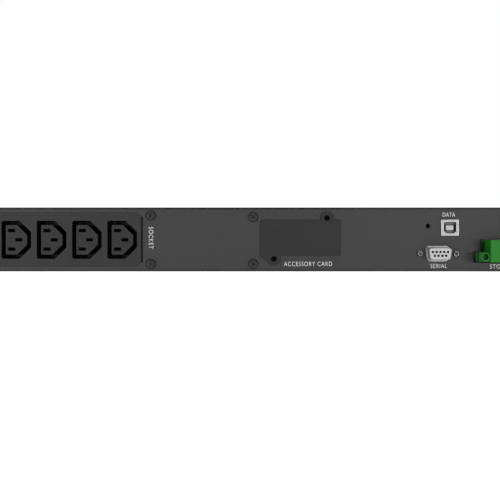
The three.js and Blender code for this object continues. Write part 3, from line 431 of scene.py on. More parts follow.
def lathe(profile, axis="-y", at=(0, 0, 0), n=48):
    """A solid of revolution. profile: (radius, distance along the axis), beginning and ending on the axis or closing on itself."""
    d = {"y": (0, 1, 0), "-y": (0, -1, 0), "x": (1, 0, 0), "-x": (-1, 0, 0), "z": (0, 0, 1)}[axis]
    a = Vector(d)
    e1 = Vector((0, 0, 1)) if abs(a.z) < 0.5 else Vector((1, 0, 0))
    e2 = a.cross(e1)
    o = Vector(at)
    closed = profile[0][0] > 1e-6
    verts, faces, rings = [], [], []
    for r, h in profile:
        if r <= 1e-6:
            rings.append([len(verts)])
            verts.append(tuple(o + a * h))
        else:
            rings.append(list(range(len(verts), len(verts) + n)))
            for i in range(n):
                t = 2 * math.pi * i / n
                verts.append(tuple(o + a * h + e1 * (r * math.cos(t)) + e2 * (r * math.sin(t))))
    pairs = list(zip(rings, rings[1:])) + ([(rings[-1], rings[0])] if closed else [])
    for p, q in pairs:
        for i in range(n):
            j = (i + 1) % n
            if len(p) == 1 and len(q) == 1:
                continue
            if len(p) == 1:
                faces.append([p[0], q[i], q[j]])
            elif len(q) == 1:
                faces.append([p[i], q[0], p[j]])
            else:
                faces.append([p[i], q[i], q[j], p[j]])
    return verts, faces


def from_bm(bm):
    bm.verts.index_update()
    out = ([tuple(v.co) for v in bm.verts], [[v.index for v in f.verts] for f in bm.faces])
    bm.free()
    return out


def rbox(x0, x1, y0, y1, z0, z1, b=0.4, seg=3):
    """A box with all its edges rounded."""
    bm = bmesh.new()
    bmesh.ops.create_cube(bm, size=1.0)
    for v in bm.verts:
        v.co = Vector((x0 + (v.co.x + 0.5) * (x1 - x0), y0 + (v.co.y + 0.5) * (y1 - y0), z0 + (v.co.z + 0.5) * (z1 - z0)))
    if b:
        bmesh.ops.bevel(bm, geom=list(bm.edges), offset=b, segments=seg, profile=0.5, affect="EDGES")
    return from_bm(bm)


def both(*shapes):
    verts, faces = [], []
    for v, f in shapes:
        o = len(verts)
        verts += v
        faces += [[i + o for i in p] for p in f]
    return verts, faces


def moved(shape, matrix):
    return [tuple(matrix @ Vector(v)) for v in shape[0]], shape[1]


def shifted(shape, x=0, y=0, z=0):
    return [(v[0] + x, v[1] + y, v[2] + z) for v in shape[0]], shape[1]


def _temp(shape):
    me = bpy.data.meshes.new("temp")
    me.from_pydata(shape[0], [], shape[1])
    bm = bmesh.new()
    bm.from_mesh(me)
    bmesh.ops.remove_doubles(bm, verts=bm.verts, dist=1e-5)
    bmesh.ops.recalc_face_normals(bm, faces=bm.faces)
    bm.to_mesh(me)
    bm.free()
    ob = bpy.data.objects.new("temp", me)
    scene.collection.objects.link(ob)
    return ob


def _result(ob, *others):
    dg = bpy.context.evaluated_depsgraph_get()
    me = bpy.data.meshes.new_from_object(ob.evaluated_get(dg))
    out = ([tuple(v.co) for v in me.vertices], [list(p.vertices) for p in me.polygons])
    bpy.data.meshes.remove(me)
    for o in (ob, *others):
        data = o.data
        bpy.data.objects.remove(o)
        bpy.data.meshes.remove(data)
    return out


def carve(shape, *cutters, op="DIFFERENCE"):
    ob = _temp(shape)
    tools = [_temp(c) for c in cutters]
    for t in tools:
        m = ob.modifiers.new("b", "BOOLEAN")
        m.operation, m.solver, m.object = op, "EXACT", t
    return _result(ob, *tools)


def soften(shape, width, seg=2, angle=35, dissolve=True):
    """Rounds a shape's sharp edges."""
    ob = _temp(shape)
    if dissolve:
        d = ob.modifiers.new("d", "DECIMATE")
        d.decimate_type, d.angle_limit = "DISSOLVE", math.radians(0.6)
    m = ob.modifiers.new("v", "BEVEL")
    m.width, m.segments, m.limit_method, m.angle_limit = width, seg, "ANGLE", math.radians(angle)
    m.use_clamp_overlap = True
    return _result(ob)


def even(ob):
    """Weighs the normals by face area, so that flat faces stay flat beside their rounded edges."""
    w = ob.modifiers.new("normals", "WEIGHTED_NORMAL")
    w.mode, w.weight, w.keep_sharp = "FACE_AREA", 80, True


def make(name, parts, body, replaces=(), angle=32):
    """Joins (shape, material) pairs to one piece, in metres, riding on a CAD body."""
    verts, faces, mids, mats = [], [], [], []
    for shape, m in parts:
        m = M[m] if isinstance(m, str) else m
        if m not in mats:
            mats.append(m)
        o = len(verts)
        verts += [(v[0] * MM, v[1] * MM, v[2] * MM) for v in shape[0]]
        faces += [[i + o for i in f] for f in shape[1]]
        mids += [mats.index(m)] * len(shape[1])
    me = bpy.data.meshes.new(name)
    me.from_pydata(verts, [], faces)
    for m in mats:
        me.materials.append(m)
    me.polygons.foreach_set("material_index", mids)
    bm = bmesh.new()
    bm.from_mesh(me)
    bmesh.ops.remove_doubles(bm, verts=bm.verts, dist=2e-8)
    bmesh.ops.dissolve_degenerate(bm, edges=bm.edges, dist=1e-8)
    bmesh.ops.recalc_face_normals(bm, faces=bm.faces)
    bm.to_mesh(me)
    bm.free()
    me.shade_smooth()
    me.set_sharp_from_angle(angle=math.radians(angle))
    ob = bpy.data.objects.new(name, me)
    scene.collection.objects.link(ob)
    even(ob)
    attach(ob, body)
    if replaces:
        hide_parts(*replaces)
    return ob


def dress(node, material, width=0.25, seg=2):
    """A CAD node whose shape is right: its own mesh, with rounded edges and a finished material."""
    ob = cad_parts[node]
    ob.data.materials.clear()
    ob.data.materials.append(M[material])
    if width:
        d = ob.modifiers.new("flat", "DECIMATE")
        d.decimate_type, d.angle_limit = "DISSOLVE", math.radians(0.6)
        b = ob.modifiers.new("edges", "BEVEL")
        b.width, b.segments, b.limit_method, b.angle_limit = width * MM, seg, "ANGLE", math.radians(35)
        b.use_clamp_overlap = True
        even(ob)
    return ob


def text(name, body_text, cx, cz, height, width, body, material="print", y=None, turn=0.0, face="rear", bold=-0.12, space=1.14):
    """Lettering printed on a face, its middle at cx, cz, stretched to the given cap height and width."""
    cu = bpy.data.curves.new(name, "FONT")
    cu.body = body_text
    cu.size = 10.0
    cu.resolution_u = 4
    cu.align_x, cu.align_y = "LEFT", "BOTTOM"
    cu.offset = bold
    cu.space_character = space
    cu.extrude = 0.5
    ob = bpy.data.objects.new(name, cu)
    scene.collection.objects.link(ob)
    dg = bpy.context.evaluated_depsgraph_get()
    me = bpy.data.meshes.new_from_object(ob.evaluated_get(dg))
    bpy.data.objects.remove(ob)
    bpy.data.curves.remove(cu)
    pts = [v.co.copy() for v in me.vertices]
    fs = [list(p.vertices) for p in me.polygons]
    bpy.data.meshes.remove(me)
    x0, x1 = min(p.x for p in pts), max(p.x for p in pts)
    y0, y1 = min(p.y for p in pts), max(p.y for p in pts)
    out = []
    c, s = math.cos(turn), math.sin(turn)
    for p in pts:
        u = ((p.x - x0) / (x1 - x0) - 0.5) * width
        v = ((p.y - y0) / (y1 - y0) - 0.5) * height
        w = 0.04 if p.z > 0 else -0.03
        uu, vv = u * c - v * s, u * s + v * c
        if face == "rear":
            out.append((cx + uu, y - w, cz + vv))
        else:
            out.append((cx - uu, y + w, cz + vv))
    return make(name, [((out, fs), material)], body)


# ------------------------------------------------------------------ fasteners
def pan_head(r, h, shank_r, shank_l, turn, recess=0.6):
    """A pan-head screw with a cross recess. It points along -Y, with its seat at the origin."""
    prof = [(0, -shank_l), (shank_r * 0.7, -shank_l), (shank_r, -shank_l + 0.5), (shank_r, 0), (r * 0.985, 0), (r, 0.12)]
    for k in range(7):
        a = math.pi / 2 * k / 6
        prof.append((r * (0.62 + 0.38 * math.cos(a)), h * (0.34 + 0.62 * math.sin(a))))
    prof += [(r * 0.3, h), (0, h)]
    body = lathe(prof, "-y", (0, 0, 0), 40)
    a, b = r * recess, r * 0.125
    d = h * 0.85
    one = plate([(-a, -b), (a, -b), (a, b), (-a, b)], -h - 1, -h + d, "xz")
    two = plate([(-b, -a), (b, -a), (b, a), (-b, a)], -h - 1, -h + d, "xz")
    mid = lathe([(0, h - d), (b * 1.2, h - d), (b * 2.6, h + 1), (0, h + 1)], "-y", (0, 0, 0), 16)
    cut = carve(body, one, two, mid)
    return moved(cut, Matrix.Rotation(turn, 4, "Y"))


rnd = random.Random(7)
for i in range(1, 5):
    b = nb(f"panel_screw_{i}")
    s = pan_head(3.02, 1.5, 1.55, 6.9, (0.62, 0.2, 0.95, 0.4)[i - 1])
    u, v = (b[0] + b[1]) / 2, (b[4] + b[5]) / 2
    s = shifted(s, u, Y_REAR - 0.3, v)
    # the washer's near-black rim is painted contact shadow round the head
    washer_shadow_ring = lathe([(1.7, 0.02), (3.33, 0.02), (3.4, 0.1), (3.4, 0.24), (3.32, 0.3), (1.7, 0.3)], "-y", (u, Y_REAR, v), 48)
    make(f"panel_screw_{i}_fine", [(s, "screw"), (washer_shadow_ring, "washer_shadow_ring")], "chassis", [f"panel_screw_{i}"])
for i in range(1, 3):
    b = nb(f"slot_cover_screw_{i}")
    s = pan_head(1.76, 1.0, 1.25, 5.9, (0.3, 1.0)[i - 1], 0.55)
    s = shifted(s, (b[0] + b[1]) / 2, Y_REAR - 0.95, (b[4] + b[5]) / 2)
    make(f"slot_cover_screw_{i}_fine", [(s, "screw_black")], "chassis", [f"slot_cover_screw_{i}"])
for side, sgn in (("left", -1), ("right", 1)):
    for i in (1, 2):
        node = f"ear_screw_{side}_{i}"
        b = nb(node)
        s = pan_head(3.6, 2.0, 1.85, 6.9, 0.5 * i)
        s = moved(s, Matrix.Rotation(math.radians(90 * sgn), 4, "Z"))
        x = sgn * (HALF_W + 0.3 + 2.05)
        s = shifted(s, x, (b[2] + b[3]) / 2, (b[4] + b[5]) / 2)
        make(node + "_fine", [(s, "screw")], "chassis", [node])

# ------------------------------------------------------------------ sheet metal
# wrap-round cover
o, i_ = HALF_W, HALF_W - T
ro, ri = 1.6, 0.5
outline = rounded([(i_, 0.5), (o, 0.5), (o, H), (-o, H), (-o, 0.5), (-i_, 0.5), (-i_, H - T), (i_, H - T)],
                  [0.0, 0.0, ro, ro, 0.0, 0.0, ri, ri], 6)
cover = plate(outline, Y_REAR, Y_FRONT, "xz", b0=0.12, b1=0.25, seg=3)
slots = []
for k in range(16):
    y = -196 + k * 9
    slots.append(plate(rect(y, y + 3.2, 17, 37, 1.55, 5), i_ - 1, o + 1, "yz"))
for k in range(10):
    y = -190 + k * 9
    slots.append(plate(rect(y, y + 3.2, 17, 37, 1.55, 5), -o - 1, -i_ + 1, "yz"))
for y in (166, 202):
    slots.append(plate(circle(y, 22, 2.4, 24), i_ - 1, o + 1, "yz"))
    slots.append(plate(circle(y, 22, 2.4, 24), -o - 1, -i_ + 1, "yz"))
cover = carve(cover, both(*slots))
cover_screws = [(x, y) for x in (-HALF_W + 9, HALF_W - 9) for y in (-190, -20, 150)] + [(-70, Y_FRONT - 10), (70, Y_FRONT - 10)]
cover = carve(cover, both(*[lathe([(0, -3), (1.9, -3), (1.9, -T + 0.3), (3.3, 0.02), (3.3, 1), (0, 1)], "z", (x, y, H), 32) for x, y in cover_screws]))
make("top_cover_fine", [(cover, "shell")], "chassis", ["top_cover"])
heads = []
for k, (x, y) in enumerate(cover_screws):
    head = lathe([(0, -3.2), (1.2, -3.2), (1.5, -2.9), (1.5, -T + 0.15), (3.15, -0.12), (3.1, -0.04), (0, -0.02)], "z", (0, 0, 0), 32)
    head = carve(head, rbox(-1.7, 1.7, -0.34, 0.34, -1.1, 1, 0), rbox(-0.34, 0.34, -1.7, 1.7, -1.1, 1, 0))
    heads.append((shifted(moved(head, Matrix.Rotation(0.7 * k, 4, "Z")), x, y, H), "screw"))
make("cover_screws", heads, "chassis")

# base pan: bent sides, notched at the rear, tapped tabs at the front, and flush screws from below
BP = nb("base_chassis")
bs, bh = BP[1], 14.0
pan = plate(rounded([(-bs, bh), (-bs, 0.0), (bs, 0.0), (bs, bh), (bs - T, bh), (bs - T, T), (-bs + T, T), (-bs + T, bh)],
                    [0.25, 1.5, 1.5, 0.25, 0.25, 0.4, 0.4, 0.25], 5), Y_REAR, BP[3], "xz", b0=0.12, b1=0.12, seg=2)
pan_screws = [(x, y) for x in (-206, -120, 60, 150, 206) for y in (-222, -6)] + [(150, 120), (206, 120), (150, 205), (206, 205)]
pan = carve(pan, both(*[rbox(*sorted((k * (bs + 1), k * (bs - T - 0.01))), Y_REAR - 1, Y_REAR + T + 0.3, T, bh + 1, 0) for k in (-1, 1)]),
            both(*[lathe([(0, -1), (3.3, -1), (3.3, -0.02), (1.9, T - 0.3), (1.9, 4), (0, 4)], "z", (x, y, 0), 32) for x, y in pan_screws]))
pan_parts = [(pan, "shell")]
for x, x0, x1 in ((-211.5, -bs + T - 0.2, -207.4), (105.2, 103.6, 112.7)):
    tab = plate(rounded([(x0, T - 0.2), (x1, T - 0.2), (x1, 30), (x0, 30)], [0, 0, 0.8, 0.8], 4), 226, 227.6, "xz", b0=0.12, b1=0.12, seg=2)
    pan_parts.append((carve(tab, lathe([(0, 0), (2.3, 0), (2.3, 5), (0, 5)], "y", (x, 224, 22), 32)), "shell"))
make("base_chassis_fine", pan_parts, "chassis", ["base_chassis"])
heads = []
for k, (x, y) in enumerate(pan_screws):
    head = lathe([(0, 0.02), (3.1, 0.04), (3.15, 0.12), (1.5, T - 0.15), (1.5, 1.6), (1.3, 1.8), (0, 1.8)], "z", (0, 0, 0), 32)
    head = carve(head, rbox(-1.7, 1.7, -0.34, 0.34, -1, 0.9, 0), rbox(-0.34, 0.34, -1.7, 1.7, -1, 0.9, 0))
    heads.append((shifted(moved(head, Matrix.Rotation(0.9 * k, 4, "Z")), x, y, 0), "screw"))
make("pan_screws", heads, "chassis")

# rear panel
FANB = nb("fan_frame")
FX, FZ = (FANB[0] + FANB[1]) / 2, (FANB[4] + FANB[5]) / 2
RP = nb("rear_panel")
USB = nb("usb_port")
USB = (USB[0] - 0.25, USB[1] - 0.25) + USB[2:]
USBX, USBZ = (USB[0] + USB[1]) / 2, (USB[4] + USB[5]) / 2
SER = nb("serial_port")
SERX, SERZ = (SER[0] + SER[1]) / 2, (SER[4] + SER[5]) / 2
INL = nb("ac_inlet")
INX, INZ = (INL[0] + INL[1]) / 2, (INL[4] + INL[5]) / 2
BRK = nb("breaker_button")
BX, BZ = (BRK[0] + BRK[1]) / 2, (BRK[4] + BRK[5]) / 2
SCR = [nb(f"panel_screw_{i}") for i in range(1, 5)]
SCR = [((b[0] + b[1]) / 2, (b[4] + b[5]) / 2) for b in SCR]
SLS = [nb(f"slot_cover_screw_{i}") for i in (1, 2)]
SLS = [((b[0] + b[1]) / 2, (b[4] + b[5]) / 2) for b in SLS]
BANK = dict(x0=-174.8, x1=-75.1, z0=3.4, z1=40.6)
PIN = (122.8, 31.3)


def serial_outline(w, h, r):
    s = math.tan(math.radians(10)) * h
    return rounded([(SERX - w / 2 + s, SERZ - h / 2), (SERX + w / 2 - s, SERZ - h / 2),
                    (SERX + w / 2, SERZ + h / 2), (SERX - w / 2, SERZ + h / 2)], r, 8)


vents = []
for i in range(-5, 6):
    for j in range(-4, 5):
        u = (i + (0.5 if j % 2 else 0)) * 5.1
        v = j * 5.1 * 0.866
        if math.hypot(u, v) < 17.4:
            vents.append(rounded(circle(FX + u, FZ + v, 2.15, 6, math.pi / 6), 0.35, 3))
opening = rounded([(BANK["x0"] - 0.06, BANK["z0"] - 0.06), (BANK["x1"] - 3.0, BANK["z0"] - 0.06), (BANK["x1"] + 0.04, BANK["z0"] + 2.55),
                   (BANK["x1"] + 1.4, BANK["z0"] + 2.9), (BANK["x1"] + 1.4, BANK["z1"] - 2.9), (BANK["x1"] + 0.04, BANK["z1"] - 2.55),
                   (BANK["x1"] - 3.0, BANK["z1"] + 0.06), (BANK["x0"] - 0.06, BANK["z1"] + 0.06)], [0.6, 0.3, 0.2, 0.4, 0.4, 0.2, 0.3, 0.6], 4)
holes = vents + [opening, rect(10.5, 58.7, 12.0, 33.9, 0.5),
                 rect(USB[0] - 0.35, USB[1] + 0.35, USB[4] - 0.35, USB[5] + 0.35, 0.4),
                 circle(PIN[0], PIN[1], 1.6, 32), serial_outline(19.2, 10.8, 2.8),
                 circle(SERX - 12.5, SERZ, 2.4, 32), circle(SERX + 12.5, SERZ, 2.4, 32),
                 rounded([(153.9, 6.0), (186.1, 6.0), (186.1, 13.7), (181.4, 13.7), (181.4, 22.0), (158.6, 22.0), (158.6, 13.7), (153.9, 13.7)], 0.4, 3),
                 rounded([(INX - 10.2, INZ - 13.8), (INX + 10.2, INZ - 13.8), (INX + 10.2, INZ + 13.8), (INX - 10.2, INZ + 13.8)], 2.6, 4),
                 circle(BX, BZ, 5.2, 40)]
holes += [circle(u, v, 1.9, 24) for u, v in SCR] + [circle(u, v, 1.75, 24) for u, v in SLS]
panel = plate(rect(-HALF_W + T + 0.06, HALF_W - T - 0.06, T + 0.06, H - T - 0.06, 0.3), Y_REAR, Y_REAR + T, "xz", holes, b0=0.1, b1=0.1, seg=2)
fl1 = rbox(-172, 214, Y_REAR + 0.6, Y_REAR + 11, T + 0.25, 2 * T + 0.25, 0.15, 2)
fl2 = rbox(-172, 214, Y_REAR + 0.6, Y_REAR + 11, H - 2 * T - 0.25, H - T - 0.25, 0.15, 2)
make("rear_panel_fine", [(panel, "chassis"), (fl1, "inside"), (fl2, "inside")], "chassis", ["rear_panel"])

dress("card_cage", "zinc", 0.15)
dress("bay_bulkhead", "zinc", 0.15)

# slot cover: plate and round ears in one outline
SC = nb("slot_cover")
sx0, sx1, sz0, sz1 = 7.1, 62.1, 10.55, 35.45


def tangent(p, c, r, side):
    """Where the line from p touches the circle round c, on the given side."""
    d = math.hypot(c[0] - p[0], c[1] - p[1])
    base = math.atan2(p[1] - c[1], p[0] - c[0])
    return base + side * math.acos(r / d)


def ear_outline():
    """The plate's outline with a round ear on its top edge at the right and one on its bottom edge at the left."""
    (tx, tz), (bx_, bz) = SLS[0], SLS[1]
    r = 4.4
    pts = rounded([(sx0, sz0), (sx1, sz0), (sx1, sz1), (sx0, sz1)], [0.0, 1.3, 1.3, 2.6], 6)
    out = [pts[0]]
    a0 = tangent((sx0, sz0), (bx_, bz), r, 1) % (2 * math.pi)
    a1 = math.atan2(sz0 - bz, math.sqrt(r * r - (sz0 - bz) ** 2)) + 2 * math.pi
    out += [(bx_ + r * math.cos(a0 + (a1 - a0) * k / 28), bz + r * math.sin(a0 + (a1 - a0) * k / 28)) for k in range(29)]
    out += pts[1:15]
    dx = math.sqrt(r * r - (tz - sz1) ** 2)
    a0 = math.atan2(sz1 - tz, dx)
    a1 = math.pi - a0
    out += [(tx + r * math.cos(a0 + (a1 - a0) * k / 28), tz + r * math.sin(a0 + (a1 - a0) * k / 28)) for k in range(29)]
    out += pts[15:]
    return out


sc = plate(ear_outline(), Y_REAR - 0.9, SC[3], "xz", [circle(u, v, 1.75, 32) for u, v in SLS], b0=0.2, b1=0.1, seg=3)
make("slot_cover_fine", [(sc, "cover")], "chassis", ["slot_cover"])


# ------------------------------------------------------------------ outlets
def outlet_outline(x, z, x0, x1, h, c, r, rc):
    return rounded([(x + x0, z - h / 2), (x + x1 - c, z - h / 2), (x + x1, z - h / 2 + c),
                    (x + x1, z + h / 2 - c), (x + x1 - c, z + h / 2), (x + x0, z + h / 2)],
                   [r, rc, rc, rc, rc, r], 5)


CORES = [nb(f"outlet_core_{i}") for i in range(1, 5)]
OX = [b[0] + 7.25 for b in CORES]
OZ = (CORES[0][4] + CORES[0][5]) / 2
wells = [outlet_outline(x, OZ, -10.2, 10.2, 26.2, 7.8, 1.4, 0.7) for x in OX]
face = rounded([(BANK["x0"], BANK["z0"]), (BANK["x1"] - 3.0, BANK["z0"]), (BANK["x1"], BANK["z0"] + 2.6),
                (BANK["x1"], BANK["z1"] - 2.6), (BANK["x1"] - 3.0, BANK["z1"]), (BANK["x0"], BANK["z1"])], 0.8, 4)
bank = [
    (plate(face, Y_REAR, Y_REAR + 0.7, "xz", wells, b0=0.12, b1=0.0, seg=3), "bank"),
    # painted shade: the wells' walls behind the face lip and further down use the near-black material
    (plate(face, Y_REAR + 0.7, Y_REAR + 2.2, "xz", wells), "well_painted_shade"),
    (plate(rect(BANK["x0"] - 0.7, BANK["x1"] + 2.6, 2.95, 41.0, 0.5), Y_REAR + T + 0.25, Y_REAR + 2.4, "xz",
           [outlet_outline(x, OZ, -10.4, 10.4, 26.6, 7.9, 1.4, 0.7) for x in OX]), "bank"),
    (plate(rect(BANK["x0"] + 0.5, BANK["x1"] - 0.5, 6.2, 37.4, 0.5), Y_REAR + 2.1, Y_REAR + 16.5, "xz", wells), "well_painted_shade"),
    (plate(rect(BANK["x0"] + 0.5, BANK["x1"] - 0.5, 6.2, 37.4, 0.5), Y_REAR + 16.4, Y_REAR + 20, "xz"), "bank"),
]
make("outlet_bank_fine", bank, "chassis", ["outlet_bank"])
for n, x in enumerate(OX, 1):
    slots = [rect(x + dx - 2.45, x + dx + 2.45, OZ + dz - 1.12, OZ + dz + 1.12, 0.25, 3) for dx, dz in ((-3.2, 6.4), (1.85, 0), (-3.2, -6.4))]
    outline = outlet_outline(x, OZ, -7.25, 7.5, 20.4, 6.9, 0.7, 0.5)
    parts = [
        (plate(outline, Y_REAR + 0.1, Y_REAR + 0.6, "xz", slots, b0=0.2, seg=3), "core"),
        # painted shade: the core's sides inside the well use the near-black material
        (plate(outline, Y_REAR + 0.6, Y_REAR + 13, "xz", slots), "well_painted_shade"),
        (plate(outline, Y_REAR + 13, Y_REAR + 16.4, "xz"), "well_painted_shade"),
    ]
    for dx, dz in ((-3.2, 6.4), (1.85, 0), (-3.2, -6.4)):
        for s in (-1, 1):
            z = OZ + dz + s * 0.72
            parts.append((rbox(x + dx - 2.1, x + dx + 2.1, Y_REAR + 9.2, Y_REAR + 12.9, z - 0.14, z + 0.14, 0.08, 1), "brass"))
    make(f"outlet_core_{n}_fine", parts, "chassis", [f"outlet_core_{n}"])

# ------------------------------------------------------------------ data port
opn = rounded([(USBX - 2.7, USBZ - 3.92), (USBX + 2.7, USBZ - 3.92), (USBX + 4.22, USBZ - 2.4), (USBX + 4.22, USBZ + 3.92),
               (USBX - 4.22, USBZ + 3.92), (USBX - 4.22, USBZ - 2.4)], [0.5, 0.5, 0.5, 0.4, 0.4, 0.5], 4)
parts = [
    (plate(rect(USB[0], USB[1], USB[4], USB[5], 0.25), Y_REAR - 0.7, Y_REAR + 0.4, "xz", [opn], b0=0.1, seg=2), "nickel"),
    (plate(rect(USB[0] + 0.05, USB[1] - 0.05, USB[4] + 0.05, USB[5] - 0.05, 0.5), Y_REAR + 0.4, -215.2, "xz", [opn]), "nickel"),
    # painted shade: a near-black back wall inside the data port
    (plate(rect(USB[0] + 0.4, USB[1] - 0.4, USB[4] + 0.4, USB[5] - 0.4, 0.5), Y_REAR + 8.5, Y_REAR + 9.4, "xz"), "painted_shade_hole"),
    (plate(rounded([(USBX - 2.6, USBZ - 3.86), (USBX + 2.6, USBZ - 3.86), (USBX + 4.16, USBZ - 2.3), (USBX + 4.16, USBZ + 3.86),
                    (USBX - 4.16, USBZ + 3.86), (USBX - 4.16, USBZ - 2.3)], 0.3, 3), Y_REAR + 1.6, Y_REAR + 8.6, "xz",
           [rect(USBX - 3.95, USBX - 2.75, USBZ - 2.1, USBZ + 2.1, 0.15, 2), rect(USBX + 2.75, USBX + 3.95, USBZ - 2.1, USBZ + 2.1, 0.15, 2)]), "port_inner"),
    # painted shade: near-black blocks filling the data port's side slots
    (rbox(USBX - 4.2, USBX - 3.0, Y_REAR - 0.5, Y_REAR + 1.7, USBZ - 2.1, USBZ + 2.1, 0.05, 1), "painted_shade_hole"),
    (rbox(USBX + 3.0, USBX + 4.2, Y_REAR - 0.1, Y_REAR + 1.7, USBZ - 2.1, USBZ + 2.1, 0.05, 1), "painted_shade_hole"),
    (rbox(USBX - 2.72, USBX + 2.72, Y_REAR + 0.2, Y_REAR + 2.0, USBZ - 1.6, USBZ + 1.6, 0.22, 3), "tongue"),
]
for s_ in (-1, 1):
    for k in (-1, 1):
        parts.append((rbox(USBX + k * 1.25 - 0.45, USBX + k * 1.25 + 0.45, Y_REAR + 0.6, Y_REAR + 1.9,
                           USBZ + s_ * 1.68 - 0.07, USBZ + s_ * 1.68 + 0.07, 0.05, 1), "brass"))
make("usb_port_fine", parts, "chassis", ["usb_port"])

# ------------------------------------------------------------------ nine-way port
pins = [(SERX + (k - 2) * 2.58, SERZ + 1.3) for k in range(5)] + [(SERX + (k - 1.5) * 2.58, SERZ - 1.3) for k in range(4)]
shell_o, shell_i = serial_outline(16.4, 8.3, 2.2), serial_outline(15.5, 7.4, 1.8)
parts = [
    (plate(shell_o, SER[2], Y_REAR + 1, "xz", [shell_i], b0=0.2, seg=3), "nickel"),
    (plate(serial_outline(15.46, 7.36, 1.8), SER[2] + 0.15, Y_REAR + 1.5, "xz", [circle(u, v, 0.86, 24) for u, v in pins], b0=0.12, seg=2), "insert"),
    # painted shade: a near-black plate behind the nine-way insert
    (plate(serial_outline(15.4, 7.3, 1.7), Y_REAR - 0.8, Y_REAR + 1.6, "xz"), "painted_shade_hole"),
    (plate(serial_outline(17.8, 9.35, 2.5), Y_REAR - 0.35, Y_REAR + 2, "xz", [shell_i], b0=0.3, seg=4), "nickel"),
    (plate(rect(SER[0], SER[1], SER[4], SER[5], 1.4), Y_REAR + T + 0.15, Y_REAR + 2.1, "xz",
           [shell_i, circle(SERX - 12.5, SERZ, 2.2, 24), circle(SERX + 12.5, SERZ, 2.2, 24)]), "nickel"),
    (rbox(SERX - 9.6, SERX + 9.6, Y_REAR + 1.9, -215.2, SERZ - 5.2, SERZ + 5.2, 0.4, 2), "black"),
]
# a fillet where the shell leaves its base
n_ = len(serial_outline(16.4, 8.3, 2.2))
rings = []
for k in range(6):
    a = math.pi / 2 * k / 5
    rings.append((0.6 - 0.6 * math.sin(a), Y_REAR - 0.35 - 0.8 * (1 - math.cos(a))))
fv, ff = [], []
for grow, y in rings:
    for u, v in serial_outline(16.4 + 2 * grow, 8.3 + 2 * grow * 0.85, 2.2 + grow * 0.4):
        fv.append((u, y, v))
for k in range(len(rings) - 1):
    for i in range(n_):
        j = (i + 1) % n_
        ff.append([k * n_ + i, k * n_ + j, (k + 1) * n_ + j, (k + 1) * n_ + i])
base = len(fv)
fv += [(u, Y_REAR - 0.3, v) for u, v in serial_outline(16.2, 8.1, 2.1)]
last = (len(rings) - 1) * n_
for i in range(n_):
    j = (i + 1) % n_
    ff.append([last + i, last + j, base + j, base + i])
    ff.append([base + i, base + j, j, i])
parts.append(((fv, ff), "nickel"))
for u, v in pins:
    # painted shade: near-black plugs in the pin sockets
    parts.append((lathe([(0.55, -0.5), (0.84, -0.5), (0.84, -5.0), (0, -5.0), (0, -4.8), (0.55, -4.6)], "-y", (u, SER[2], v), 20), "painted_shade_hole"))
make("serial_port_fine", parts, "chassis", ["serial_port"])
for side, s in (("left", -1), ("right", 1)):
    x = SERX + s * 12.5
    nut = plate(rounded(circle(x, SERZ, 2.05, 6), 0.5, 3), Y_REAR - 0.5, Y_REAR + 2.4, "xz", [circle(x, SERZ, 1.2, 32)], b0=0.2, seg=2)
    shank = lathe([(1.2, -2.2), (1.55, -2.2), (1.55, -8.0), (1.2, -8.0)], "-y", (x, Y_REAR, SERZ), 32)
    # painted light and shade: the bore is filled with a dark grey plug
    bore_shade_plug = lathe([(0, -0.2), (0.5, -0.1), (0.9, 0.2), (1.19, 0.3), (1.19, -6.0), (0, -6.0)], "-y", (x, Y_REAR, SERZ), 24)
    rim = lathe([(1.22, 0.45), (1.62, 0.45), (1.7, 0.52), (1.62, 0.62), (1.3, 0.62), (1.22, 0.55)], "-y", (x, Y_REAR, SERZ), 40)
    make(f"serial_jack_nut_{side}_fine", [(nut, "screw"), (rim, "nickel_dark"), (shank, "nickel_dark"), (bore_shade_plug, "bore_shade")], "chassis", [f"serial_jack_nut_{side}"])
dress("comms_board", "pcb", 0.1)

# ------------------------------------------------------------------ pull-off terminal
EP = nb("epo_plug")
EX0, EX1, EZ0, EZ1 = EP[0] + 7.5, EP[1] - 7.5, EP[4], EP[5]
EXC, EH_ = (EX0 + EX1) / 2, 10.2
ears = (EX0 - 3.1, EX1 + 3.1)
body = rbox(EX0, EX1, Y_REAR - 11.2, Y_REAR - 0.2, EZ0, EZ1, 0.3, 3)
cutters = []
for k in (-1, 0, 1):
    cutters.append(lathe([(0, 0), (1.9, 0), (1.9, 5), (0, 5)], "z", (EXC + k * 5.08, Y_REAR - 6, EZ1 - 2.5), 28))
    cutters.append(rbox(EXC + k * 5.08 - 1.7, EXC + k * 5.08 + 1.7, Y_REAR - 9.2, Y_REAR - 3.4, EZ0 - 2, EZ0 + 6, 0))
body = carve(body, both(*cutters))
parts = [(body, "green"),
         (rbox(162.4, 177.6, Y_REAR - 1.2, -219.4, 8.8, 19.2, 0.3, 2), "green")]
